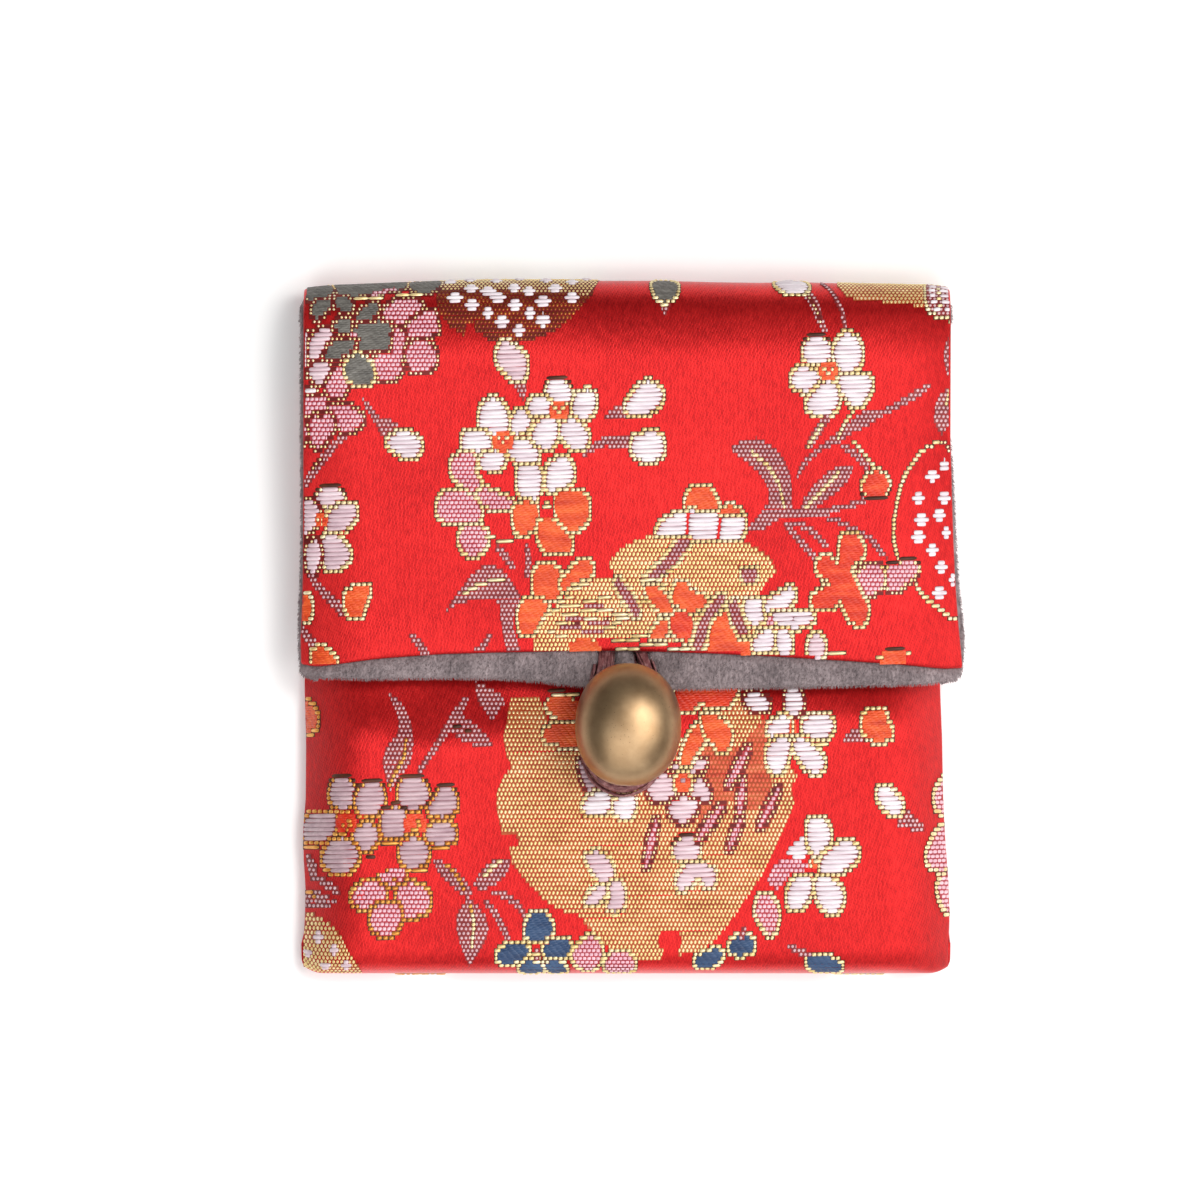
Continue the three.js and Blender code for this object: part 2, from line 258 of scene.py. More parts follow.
def flap_plain(x, y):
    """the flap without its soft mounds: domed to the sides and leaning away towards the top"""
    y2 = np.minimum(y, 37.2)
    d = np.minimum(x - FLAP_L(y2), FLAP_R(y2) - x)
    drop = lerp(3.2, 0.9, smooth((y2 + 5) / 45))
    t = np.maximum((y - (41.0 - ROLL_L)) / ROLL_L, 0.0)
    return H_FLAP - drop * fall(d, 9.0, 2.2) - 0.5 * ROLL_L * math.tan(A0) * t ** 2


def flap_z(x, y):
    z = flap_plain(x, y)
    w = np.zeros_like(z)
    for cx, cy, sx, sy, a, h in FLAP_FORM:
        w += h * bump(x, y, float(X(cx)), float(Y(cy)), sx, sy, a)
    return z + w * smooth((39.5 - y) / 5)


A0, ROLL_L = 0.31, 7.2         # how far the flap already leans where the round of the fold starts


def fold_of(xm):
    """fold radius and the y of its centre, for x in mm"""
    top = np.minimum(Y_TOPEDGE(xm), TOP_Y)
    yj = np.full_like(xm, 41.0)
    for _ in range(5):              # the round starts where the slope meets it, without a step
        r = flap_plain(xm, yj) / (1 + math.cos(A0))
        yj = top - r * (1 - math.sin(A0))
    return r, top - r


def P_flap(x, V):
    """flap, top fold and back, x and V in layout units; V falls from the hem up and over"""
    xm = np.asarray(X(x), float)
    V = np.asarray(V, float)
    xm, V = np.broadcast_arrays(xm, V)
    y = Y(V)
    r, yc = fold_of(xm)
    yj = yc + r * math.sin(A0)
    arc = np.maximum(0.0, y - yj)
    a = np.minimum(A0 + arc / r, math.pi)
    zt = flap_z(xm, np.minimum(y, yj))
    yy = np.where(arc > 0, yc + r * np.sin(a), y)
    zz = np.where(arc > 0, r + r * np.cos(a), zt)
    back = np.maximum(0.0, arc - (math.pi - A0) * r)
    yy = np.where(back > 0, yc - back, yy)
    edge_up = 0.9 * fall(np.maximum(np.minimum(xm - BODY_L(yy), BODY_R(yy) - xm), 0), 1.8, 2.0)
    zz = np.where(back > 0, np.maximum(edge_up * smooth(back / 6), 0), zz)
    return np.stack([xm, yy, zz], -1)


def frame_at(P, x, V, e=0.35):
    p = P(x, V)
    tx = unit(P(x + e, V) - P(x - e, V))
    tv = unit(P(x, V + e) - P(x, V - e))
    n = unit(np.cross(tv, tx))          # V grows downwards, so tv x tx points out
    return p, tx, tv, n


# =====================================================================
# materials
# =====================================================================
def srgb(r, g, b):
    def f(c):
        c = c / 255.0
        return c / 12.92 if c <= 0.04045 else ((c + 0.055) / 1.055) ** 2.4
    return (f(r), f(g), f(b), 1.0)


def new_mat(name):
    m = bpy.data.materials.new(name)
    m.use_nodes = True
    nt = m.node_tree
    for n in list(nt.nodes):
        nt.nodes.remove(n)
    out = nt.nodes.new("ShaderNodeOutputMaterial")
    bs = nt.nodes.new("ShaderNodeBsdfPrincipled")
    nt.links.new(bs.outputs[0], out.inputs[0])
    return m, nt, bs


def node(nt, kind, **kw):
    n = nt.nodes.new(kind)
    for k, v in kw.items():
        if k in n.inputs:
            n.inputs[k].default_value = v
        else:
            setattr(n, k, v)
    return n


def coords(nt, scale=(1, 1, 1)):
    tc = node(nt, "ShaderNodeTexCoord")
    mp = node(nt, "ShaderNodeMapping")
    mp.inputs["Scale"].default_value = scale
    nt.links.new(tc.outputs["Object"], mp.inputs[0])
    return mp.outputs[0]


def thread_mat(name, dark, mid, light, rough=0.42, spec=0.5, noise=900.0, sheen=0.0, metal=0.0, stretch=(0.25, 1, 1), bump_h=0.35,
               bump_scale=5200.0, aniso=0.0):
    """silk or metal thread: colour varies from float to float and along it, with a fine filament bump"""
    m, nt, bs = new_mat(name)
    v = coords(nt, stretch)
    n1 = node(nt, "ShaderNodeTexNoise", Scale=noise, Detail=3.0, Roughness=0.6)
    nt.links.new(v, n1.inputs["Vector"])
    ramp = node(nt, "ShaderNodeValToRGB")
    cr = ramp.color_ramp
    cr.elements[0].position = 0.30
    cr.elements[0].color = dark
    cr.elements[1].position = 0.70
    cr.elements[1].color = light
    e = cr.elements.new(0.5)
    e.color = mid
    nt.links.new(n1.outputs["Fac"], ramp.inputs[0])
    nt.links.new(ramp.outputs[0], bs.inputs["Base Color"])
    n2 = node(nt, "ShaderNodeTexNoise", Scale=bump_scale, Detail=2.0)
    nt.links.new(coords(nt, (0.12, 1, 1)), n2.inputs["Vector"])
    rr = node(nt, "ShaderNodeMapRange")
    rr.inputs["To Min"].default_value = max(0.05, rough - 0.08)
    rr.inputs["To Max"].default_value = min(1.0, rough + 0.08)
    nt.links.new(n2.outputs["Fac"], rr.inputs["Value"])
    nt.links.new(rr.outputs[0], bs.inputs["Roughness"])
    bp = node(nt, "ShaderNodeBump", Strength=bump_h, Distance=0.00004)
    nt.links.new(n2.outputs["Fac"], bp.inputs["Height"])
    nt.links.new(bp.outputs[0], bs.inputs["Normal"])
    bs.inputs["Metallic"].default_value = metal
    bs.inputs["Specular IOR Level"].default_value = spec
    bs.inputs["Sheen Weight"].default_value = sheen
    bs.inputs["Anisotropic"].default_value = aniso
    return m


def mathn(nt, op, a, b=None, c=None):
    n = node(nt, "ShaderNodeMath", operation=op)
    for k, v in enumerate((a, b, c)):
        if v is None:
            continue
        if isinstance(v, (int, float)):
            n.inputs[k].default_value = v
        else:
            nt.links.new(v, n.inputs[k])
    return n.outputs[0]


def satin_mat():
    """the red satin ground: upright warp floats 0.17 mm wide, each column stepped against the
    next so that they line up in a steep twill, with a coloured sheen across the threads"""
    m, nt, bs = new_mat("red_satin")
    uv = node(nt, "ShaderNodeUVMap")
    uv.uv_map = "weave"
    sep = node(nt, "ShaderNodeSeparateXYZ")
    nt.links.new(uv.outputs[0], sep.inputs[0])
    # layout in millimetres across and along the strip
    wob = node(nt, "ShaderNodeTexNoise", Scale=60.0, Detail=2.0)
    nt.links.new(uv.outputs[0], wob.inputs["Vector"])
    x = mathn(nt, "MULTIPLY_ADD", sep.outputs[0], 100.0 / 0.175, mathn(nt, "MULTIPLY", wob.outputs["Fac"], 1.6))
    y = mathn(nt, "MULTIPLY_ADD", sep.outputs[1], 100.0 / 0.86, mathn(nt, "MULTIPLY", wob.outputs["Fac"], 0.5))
    col = mathn(nt, "FLOOR", x)
    fx = mathn(nt, "FRACT", x)
    fy = mathn(nt, "FRACT", mathn(nt, "MULTIPLY_ADD", col, 0.40, y))
    # rounded across, and dipping where each float is bound down
    across = mathn(nt, "SINE", mathn(nt, "MULTIPLY", fx, math.pi))
    dip = mathn(nt, "SINE", mathn(nt, "MULTIPLY", fy, math.pi))
    dip = mathn(nt, "POWER", dip, 0.45)
    h = mathn(nt, "MULTIPLY", across, dip)
    # thread to thread and cloudy variation; the float height h is added in too, so the colour is darker in the dips
    # between floats: painted shade
    n1 = node(nt, "ShaderNodeTexNoise", Scale=2300.0, Detail=3.0, Roughness=0.7)
    gr = coords(nt, (1.0, 0.42, 1.0))
    gr.node.inputs["Rotation"].default_value = (0.0, 0.0, 0.42)
    nt.links.new(gr, n1.inputs["Vector"])
    n2 = node(nt, "ShaderNodeTexNoise", Scale=70.0, Detail=3.0)
    nt.links.new(coords(nt), n2.inputs["Vector"])
    t = mathn(nt, "MULTIPLY_ADD", n1.outputs["Fac"], 0.75, mathn(nt, "MULTIPLY", h, 0.40))
    t = mathn(nt, "ADD", t, mathn(nt, "MULTIPLY_ADD", n2.outputs["Fac"], 0.35, -0.22))
    r1 = node(nt, "ShaderNodeValToRGB")
    r1.color_ramp.elements[0].position = 0.28
    r1.color_ramp.elements[0].color = srgb(162, 11, 18)
    r1.color_ramp.elements[1].position = 0.92
    r1.color_ramp.elements[1].color = srgb(238, 50, 47)
    e = r1.color_ramp.elements.new(0.58)
    e.color = srgb(214, 30, 32)
    nt.links.new(t, r1.inputs[0])
    nt.links.new(r1.outputs[0], bs.inputs["Base Color"])
    hh = mathn(nt, "MULTIPLY_ADD", n1.outputs["Fac"], 0.8, h)
    bp = node(nt, "ShaderNodeBump", Strength=0.55, Distance=0.00006)
    nt.links.new(hh, bp.inputs["Height"])
    nt.links.new(bp.outputs[0], bs.inputs["Normal"])
    rr = node(nt, "ShaderNodeMapRange")
    rr.inputs["To Min"].default_value = 0.36
    rr.inputs["To Max"].default_value = 0.50
    nt.links.new(n1.outputs["Fac"], rr.inputs["Value"])
    nt.links.new(rr.outputs[0], bs.inputs["Roughness"])
    tg = node(nt, "ShaderNodeTangent", direction_type="UV_MAP")
    tg.uv_map = "weave"
    nt.links.new(tg.outputs[0], bs.inputs["Tangent"])
    bs.inputs["Metallic"].default_value = 0.66
    bs.inputs["Specular IOR Level"].default_value = 0.45
    bs.inputs["Anisotropic"].default_value = 0.78
    return m


def velvet_mat(name="grey_velvet", lift=1.0):
    m, nt, bs = new_mat(name)
    n1 = node(nt, "ShaderNodeTexNoise", Scale=2600.0, Detail=4.0, Roughness=0.7)
    nt.links.new(coords(nt, (1.0, 0.35, 1.0)), n1.inputs["Vector"])
    n2 = node(nt, "ShaderNodeTexNoise", Scale=240.0, Detail=3.0)
    nt.links.new(coords(nt), n2.inputs["Vector"])
    add = node(nt, "ShaderNodeMath", operation="MULTIPLY_ADD")
    add.inputs[1].default_value = 0.6
    nt.links.new(n1.outputs["Fac"], add.inputs[0])
    m2 = node(nt, "ShaderNodeMath", operation="MULTIPLY")
    m2.inputs[1].default_value = 0.4
    nt.links.new(n2.outputs["Fac"], m2.inputs[0])
    nt.links.new(m2.outputs[0], add.inputs[2])
    r = node(nt, "ShaderNodeValToRGB")
    r.color_ramp.elements[0].position = 0.32
    r.color_ramp.elements[0].color = srgb(98 * lift, 88 * lift, 90 * lift)
    r.color_ramp.elements[1].position = 0.68
    r.color_ramp.elements[1].color = srgb(176 * lift, 160 * lift, 162 * lift)
    nt.links.new(add.outputs[0], r.inputs[0])
    nt.links.new(r.outputs[0], bs.inputs["Base Color"])
    bp = node(nt, "ShaderNodeBump", Strength=0.8, Distance=0.00012)
    nt.links.new(n1.outputs["Fac"], bp.inputs["Height"])
    nt.links.new(bp.outputs[0], bs.inputs["Normal"])
    bs.inputs["Roughness"].default_value = 0.95
    bs.inputs["Sheen Weight"].default_value = 0.5
    bs.inputs["Sheen Roughness"].default_value = 0.5
    bs.inputs["Sheen Tint"].default_value = (0.75, 0.72, 0.74, 1.0)
    bs.inputs["Specular IOR Level"].default_value = 0.1
    return m


def brass_mat():
    m, nt, bs = new_mat("antique_brass")
    n1 = node(nt, "ShaderNodeTexNoise", Scale=260.0, Detail=5.0, Roughness=0.6)
    nt.links.new(coords(nt), n1.inputs["Vector"])
    r = node(nt, "ShaderNodeValToRGB")
    r.color_ramp.elements[0].position = 0.32
    r.color_ramp.elements[0].color = (0.34, 0.205, 0.095, 1.0)
    r.color_ramp.elements[1].position = 0.68
    r.color_ramp.elements[1].color = (0.48, 0.315, 0.165, 1.0)
    nt.links.new(n1.outputs["Fac"], r.inputs[0])
    # tiny dark pits and bright grains of the matte plating
    vo = node(nt, "ShaderNodeTexVoronoi", Scale=2300.0)
    nt.links.new(coords(nt), vo.inputs["Vector"])
    pit = node(nt, "ShaderNodeMapRange")
    pit.inputs["From Min"].default_value = 0.05
    pit.inputs["From Max"].default_value = 0.16
    nt.links.new(vo.outputs["Distance"], pit.inputs["Value"])
    n2 = node(nt, "ShaderNodeTexNoise", Scale=420.0, Detail=2.0)
    nt.links.new(coords(nt), n2.inputs["Vector"])
    sel = node(nt, "ShaderNodeMapRange")
    sel.inputs["From Min"].default_value = 0.52
    sel.inputs["From Max"].default_value = 0.60
    nt.links.new(n2.outputs["Fac"], sel.inputs["Value"])
    inv = node(nt, "ShaderNodeMath", operation="SUBTRACT")
    inv.inputs[0].default_value = 1.0
    nt.links.new(pit.outputs[0], inv.inputs[1])
    amt = node(nt, "ShaderNodeMath", operation="MULTIPLY")
    nt.links.new(inv.outputs[0], amt.inputs[0])
    nt.links.new(sel.outputs[0], amt.inputs[1])
    mx = node(nt, "ShaderNodeMix", data_type="RGBA", blend_type="MIX")
    nt.links.new(amt.outputs[0], mx.inputs[0])
    nt.links.new(r.outputs[0], mx.inputs[6])
    mx.inputs[7].default_value = (0.10, 0.055, 0.025, 1.0)
    nt.links.new(mx.outputs[2], bs.inputs["Base Color"])
    n3 = node(nt, "ShaderNodeTexNoise", Scale=5200.0, Detail=2.0)
    nt.links.new(coords(nt), n3.inputs["Vector"])
    bp = node(nt, "ShaderNodeBump", Strength=0.22, Distance=0.00003)
    nt.links.new(n3.outputs["Fac"], bp.inputs["Height"])
    nt.links.new(bp.outputs[0], bs.inputs["Normal"])
    rr = node(nt, "ShaderNodeMapRange")
    rr.inputs["To Min"].default_value = 0.38
    rr.inputs["To Max"].default_value = 0.46
    nt.links.new(n1.outputs["Fac"], rr.inputs["Value"])
    nt.links.new(rr.outputs[0], bs.inputs["Roughness"])
    bs.inputs["Metallic"].default_value = 1.0
    bs.inputs["Coat Weight"].default_value = 0.5
    bs.inputs["Coat Roughness"].default_value = 0.42
    bs.inputs["Coat IOR"].default_value = 1.6
    return m


M_SATIN = satin_mat()
M_VELVET = velvet_mat()
M_PILE = velvet_mat("velvet_pile", 1.06)
M_BRASS = brass_mat()
M_WHITE = thread_mat("silk_white", srgb(222, 204, 212), srgb(238, 226, 232), srgb(250, 244, 247), rough=0.36, sheen=0.2)
# lilac-grey copy of the white silk, the white silk without its highlight: painted shade
M_WHITE_SHADED = thread_mat("silk_white_painted_shade", srgb(176, 142, 152), srgb(196, 164, 172), srgb(214, 186, 192), rough=0.38, sheen=0.2)
M_PINKDOT = thread_mat("silk_pink_light", srgb(232, 172, 188), srgb(240, 194, 206), srgb(250, 218, 226), rough=0.4)
M_PINK = thread_mat("silk_pink", srgb(150, 34, 46), srgb(172, 50, 62), srgb(190, 70, 84), rough=0.5, spec=0.3)
M_MAUVEDOT = thread_mat("silk_mauve_light", srgb(198, 152, 160), srgb(216, 176, 182), srgb(232, 200, 204), rough=0.42)
M_MAUVE = thread_mat("silk_mauve", srgb(112, 30, 34), srgb(136, 44, 46), srgb(158, 60, 58), rough=0.5, spec=0.3)
M_GREEN = thread_mat("silk_grey_green", srgb(84, 80, 76), srgb(104, 100, 94), srgb(130, 126, 120), rough=0.42, noise=2200)
M_ORANGE = thread_mat("silk_orange", srgb(206, 56, 16), srgb(232, 82, 28), srgb(248, 114, 52), rough=0.4)
M_BLUE = thread_mat("silk_blue", srgb(22, 48, 86), srgb(36, 66, 106), srgb(60, 88, 126), rough=0.4)
M_GOLD = thread_mat("gold_thread", srgb(232, 196, 122), srgb(250, 228, 170), srgb(255, 244, 210), rough=0.36, metal=0.40, bump_h=0.5)
M_GOLDDOT = thread_mat("gold_ground_thread", srgb(236, 202, 130), srgb(248, 220, 154), srgb(254, 236, 186), rough=0.36, metal=0.42, bump_h=0.5)
M_GOLDUNDER = thread_mat("gold_ground_under", srgb(152, 54, 24), srgb(176, 76, 36), srgb(194, 100, 54), rough=0.5, spec=0.3)
# the next two are darker copies of the gold dots and of the gold ground, for the half disc at the top fold: painted
# shade
M_GOLD_SHADED = thread_mat("gold_thread_painted_shade", srgb(110, 44, 14), srgb(140, 66, 22), srgb(196, 118, 50), rough=0.34, metal=0.6, bump_h=0.5)
M_GOLDUNDER_SHADED = thread_mat("gold_ground_under_painted_shade", srgb(92, 8, 10), srgb(112, 14, 12), srgb(130, 20, 14), rough=0.5, spec=0.3)
# dark brown strips under the gold outlines and dashes, and bars along petals' top edges: painted shadow
M_SHADOW_STRIP = thread_mat("painted_shadow_dark", srgb(48, 22, 14), srgb(72, 36, 20), srgb(98, 52, 28), rough=0.5, spec=0.3)
M_AMBER = thread_mat("amber_thread", srgb(206, 128, 48), srgb(228, 156, 66), srgb(244, 190, 104), rough=0.36, metal=0.5, bump_h=0.5)
M_BRICK = thread_mat("brick_thread", srgb(214, 74, 44), srgb(232, 100, 66), srgb(246, 134, 98), rough=0.42)
M_BINDRED = thread_mat("binding_red_brown", srgb(84, 14, 16), srgb(108, 22, 20), srgb(132, 36, 28), rough=0.5, spec=0.3)
M_PALE = thread_mat("silk_pale", srgb(206, 176, 186), srgb(226, 198, 206), srgb(242, 222, 228), rough=0.38, sheen=0.2)
# dark sheet under the white, shaded-white and pale floats, seen in the gaps between rows: painted shade
M_FLOAT_GAP_SHADE = thread_mat("painted_shade_between_floats", srgb(120, 66, 76), srgb(142, 88, 96), srgb(164, 112, 118), rough=0.5, spec=0.3)
M_ORED = thread_mat("silk_red_orange", srgb(196, 34, 6), srgb(222, 52, 14), srgb(240, 82, 34), rough=0.4)
M_CORD = thread_mat("cord_silk", srgb(92, 46, 50), srgb(134, 80, 82), srgb(184, 134, 132), rough=0.45, noise=1500, stretch=(1, 1, 1))
M_THREAD = thread_mat("sewing_thread", srgb(84, 16, 18), srgb(110, 24, 26), srgb(140, 40, 38), rough=0.6)


# =====================================================================
# the brocade strip: one cloth from the mouth, round the bottom, up the back,
# round the top fold and down the flap to the turned hem
# =====================================================================
NXC = 150
U = 0.5 - 0.5 * np.cos(np.pi * np.linspace(0, 1, NXC))
U = lerp(U, np.linspace(0, 1, NXC), 0.55)
R_EDGE = 0.42                   # half the cloth's thickness at turned edges


def strip_rows():
    rows = []
    # front panel, from the mouth down (hidden part coarse)
    for y in np.concatenate([np.linspace(MOUTH_Y, 0, 22)[:-1], np.linspace(0, YB_C, 118)]):
        rows.append(("body", float(CY - y / PX)))
    for a in np.linspace(0, math.pi, 22)[1:]:
        rows.append(("body", float(CY - (YB_C - a * 4.9) / PX)))
    return rows


def grid_body():
    pts = []
    for kind, V in strip_rows():
        y = Y(V)
        yy = max(float(y), YB_C)
        xl, xr = float(BODY_L(yy)) + R_EDGE, float(BODY_R(yy)) - R_EDGE
        xs = lerp(xl, xr, U)
        pts.append(P_body(xs / PX + CX, np.full(NXC, V)))
    return np.array(pts)


def grid_back():
    """from the bottom fold up the back to where the top fold starts"""
    pts = []
    for y in np.linspace(YB_C, 38.0, 60)[1:]:
        xl, xr = float(BODY_L(y)) + R_EDGE, float(BODY_R(y)) - R_EDGE
        k = smooth((y - 26) / 14)
        xl, xr = lerp(xl, float(FLAP_L(39)) + R_EDGE, k), lerp(xr, float(FLAP_R(39)) - R_EDGE, k)
        xs = lerp(xl, xr, U)
        d = np.maximum(np.minimum(xs - xl, xr - xs), 0)
        z = 0.9 * fall(d, 1.8, 2.0) * (1 - k)
        pts.append(np.stack([xs, np.full(NXC, y), z], -1))
    return np.array(pts)


def grid_flap():
    """round the top fold and down to the hem"""
    pts = []
    xs0 = lerp(float(FLAP_L(40)) + R_EDGE, float(FLAP_R(40)) - R_EDGE, U)
    for a in np.linspace(math.pi, A0, 42)[:-1]:
        r, yc = fold_of(xs0)
        pts.append(np.stack([xs0, yc + r * np.sin(a), r + r * np.cos(a)], -1))
    r, yc = fold_of(xs0)
    yc = yc + r * math.sin(A0)
    for t in np.linspace(0, 1, 160):
        y0 = lerp(yc, HEM(xs0) + R_EDGE, t)
        xl, xr = FLAP_L(y0) + R_EDGE, FLAP_R(y0) - R_EDGE
        x = lerp(xl, xr, U)
        y = lerp(yc, HEM(x) + R_EDGE, t)
        pts.append(np.stack([x, y, flap_z(x, y)], -1))
    return np.array(pts)


def turned(grid, r, tuck, ends=(False, False), steps=6):
    """adds rows/columns that turn the cloth's edges under: all sides, and the ends named"""
    def normals(g):
        du = np.gradient(g, axis=1)
        dv = np.gradient(g, axis=0)
        return unit(np.cross(dv, du))
    n = normals(grid)
    ang = np.linspace(0, math.pi, steps + 1)[1:]

    def wrap(edge_p, edge_n, out):
        out = unit(out - (out * edge_n).sum(-1, keepdims=True) * edge_n)
        cols = []
        for a in ang:
            cols.append(edge_p + edge_n * (r * math.cos(a) - r) + out * (r * math.sin(a)))
        if tuck > 0:
            cols.append(edge_p - edge_n * (2 * r) - out * tuck)
        return cols
    left = wrap(grid[:, 0], n[:, 0], grid[:, 0] - grid[:, 1])
    right = wrap(grid[:, -1], n[:, -1], grid[:, -1] - grid[:, -2])
    g = np.concatenate([np.array(left[::-1]).transpose(1, 0, 2), grid, np.array(right).transpose(1, 0, 2)], axis=1)
    n2 = normals(g)
    # keep the end rows' normals from the plain grid where they exist
    k = len(left)
    if ends[1]:
        en = n2[-1].copy()
        en[k:-k] = n[-1]
        en[:k] = n[-1, 0]
        en[-k:] = n[-1, -1]
        rows = wrap(g[-1], en, g[-1] - g[-2])
        g = np.concatenate([g, np.array(rows)], axis=0)
    if ends[0]:
        en = n2[0].copy()
        en[k:-k] = n[0]
        rows = wrap(g[0], en, g[0] - g[1])
        g = np.concatenate([np.array(rows[::-1]), g], axis=0)
    return g


def grid_faces(nr, nc, off=0):
    i = np.arange(nr - 1)[:, None] * nc + np.arange(nc - 1)[None, :]
    i = i.reshape(-1) + off
    return np.stack([i, i + nc, i + nc + 1, i + 1], -1)


gb, gk, gf = grid_body(), grid_back(), grid_flap()
strip = np.concatenate([gb, gk, gf], axis=0)
strip = turned(strip, R_EDGE, 1.2, ends=(True, True))
faces = grid_faces(strip.shape[0], strip.shape[1])
cloth = make_mesh("brocade_cloth", strip.reshape(-1, 3), faces, M_SATIN)


def weave_uv(ob, grid):
    """a layout of the flat cloth: metres across, metres along"""
    nr, nc = grid.shape[:2]
    along = np.concatenate([[0], np.cumsum(np.linalg.norm(np.diff(grid[:, nc // 2], axis=0), axis=1))])
    k = nc // 2
    across = np.cumsum(np.concatenate([[0], np.linalg.norm(np.diff(grid[nr // 3], axis=0), axis=1)]))
    uvs = np.stack([np.broadcast_to(across[None] - across[k], (nr, nc)), np.broadcast_to(along[:, None], (nr, nc))], -1).reshape(-1, 2) * MM
    me = ob.data
    lay = me.uv_layers.new(name="weave")
    idx = np.empty(len(me.loops), np.int32)
    me.loops.foreach_get("vertex_index", idx)
    lay.data.foreach_set("uv", (uvs[idx] * 10.0).astype(np.float32).reshape(-1))


weave_uv(cloth, strip)
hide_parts("brocade_shell")

# =====================================================================
# the velvet lining: pocket, top fold, flap, rolled out past the hem
# =====================================================================
NXL = 110
UL = lerp(0.5 - 0.5 * np.cos(np.pi * np.linspace(0, 1, NXL)), np.linspace(0, 1, NXL), 0.4)


def roll_x(y, side):
    """outer edge of the velvet at the flap's sides"""
    v = CY - np.asarray(y, float) / PX
    if side < 0:
        px = np.interp(v, [284, 300, 320, 360, 460, 540, 580, 600, 620, 650, 668, 676, 690],
                       [303, 301, 299, 298.6, 298.6, 298.4, 297, 296, 295, 294.6, 296.5, 302, 306])
    else:
        px = np.interp(v, [284, 300, 440, 470, 500, 540, 580, 620, 640, 655, 668, 676, 684, 692],
                       [951, 952, 952.5, 954.5, 956.5, 958.5, 961.5, 965.5, 968, 968.3, 967, 965, 960, 955])
    return X(px)


def lining_grid():
    pts = []
    off_o = 1.1
    # pocket front wall, inner surface outwards is towards the brocade
    for y in np.linspace(MOUTH_Y + 0.6, BOT_Y + 4.4, 26):
        xl, xr = float(BODY_L(y)) + 2.6, float(BODY_R(y)) - 2.6
        x = lerp(xl, xr, UL)
        d = np.minimum(x - BODY_L(y), BODY_R(y) - x)
        z = H_BODY - 1.15 - (H_BODY - SEAM_Z) * fall(d, 9.0, 2.2) * 0.95
        z = np.maximum(np.minimum(z, body_z(x, np.full(NXL, y)) - 1.0), 1.25)
        pts.append(np.stack([x, np.full(NXL, y), z], -1))
    top = pts[-1]
    for a in np.linspace(math.pi / 2, -math.pi / 2, 10)[1:-1]:
        p = top.copy()
        zm = (top[:, 2] + 1.1) / 2
        hz = (top[:, 2] - 1.1) / 2
        p[:, 1] = BOT_Y + 4.4 - 2.2 * math.cos(a)
        p[:, 2] = zm + hz * math.sin(a)
        pts.append(p)
    for y in np.linspace(BOT_Y + 4.4, 38.6, 40):
        xl, xr = float(BODY_L(y)) + 2.6, float(BODY_R(y)) - 2.6
        k = smooth((y - 28) / 16)
        xl, xr = lerp(xl, float(FLAP_L(39)) + 1.0, k), lerp(xr, float(FLAP_R(39)) - 1.0, k)
        x = lerp(xl, xr, UL)
        pts.append(np.stack([x, np.full(NXL, y), np.full(NXL, 1.1)], -1))
    for a in np.linspace(math.pi, A0, 26)[1:-1]:
        k = smooth(1 - a / math.pi)
        xl = lerp(float(FLAP_L(39)) + 1.0, float(roll_x(41, -1)) + 0.5, k)
        xr = lerp(float(FLAP_R(39)) - 1.0, float(roll_x(41, 1)) - 0.5, k)
        x = lerp(xl, xr, UL)
        r, yc = fold_of(x)
        ri = r - off_o
        pts.append(np.stack([x, yc + ri * np.sin(a), r + ri * np.cos(a)], -1))
    # flap part: lies 1.1 mm under the brocade, swells where it shows
    xs0 = lerp(float(roll_x(39, -1)), float(roll_x(39, 1)), UL)
    r, yc = fold_of(xs0)
    yc = yc + r * math.sin(A0)
    ts = np.concatenate([np.linspace(0, 0.8, 60)[:-1], np.linspace(0.8, 1, 46)])
    for t in ts:
        y0 = lerp(yc, ROLL(xs0) + 0.85, t)
        xl, xr = roll_x(y0, -1) + 0.75, roll_x(y0, 1) - 0.75
        x = lerp(xl, xr, UL)
        y = lerp(yc, ROLL(x) + 0.85, t)
        z = flap_z(x, y) - off_o
        show = smooth((HEM(x) + 0.7 - y) / 1.6)
        z = z + 0.42 * show
        dxe = np.minimum(x - (FLAP_L(y) + 0.2), (FLAP_R(y) - 0.2) - x)
        z = z + 0.15 * smooth(-dxe / 0.5) * (1 - show)
        # soft unevenness of the rolled edge
        z = z + show * (0.10 * np.sin(x * 0.9 + 1.0) + 0.07 * np.sin(x * 2.3))
        pts.append(np.stack([x, y, z], -1))
    return np.array(pts)


# where the cord presses into the velvet
CORD_PATH = np.array([
    [-3.0, 0.6, 10.15], [-3.1, -1.4, 10.15], [-3.4, -3.4, 10.45], [-3.8, -5.4, 11.3], [-4.3, -7.3, 11.5], [-4.8, -9.3, 11.0],
    [-5.3, -11.6, 10.65], [-5.6, -14.0, 10.6], [-5.5, -16.4, 10.6], [-4.7, -18.7, 10.6], [-3.2, -20.2, 10.6],
    [-1.2, -20.75, 10.6],
    [0.8, -20.2, 10.6], [2.3, -18.7, 10.6], [3.1, -16.4, 10.6], [3.2, -14.0, 10.6], [3.0, -11.6, 10.65],
    [2.7, -9.3, 11.0], [2.3, -7.3, 11.5], [1.8, -5.4, 11.3], [1.3, -3.4, 10.45], [0.9, -1.4, 10.15], [0.7, 0.6, 10.15]])


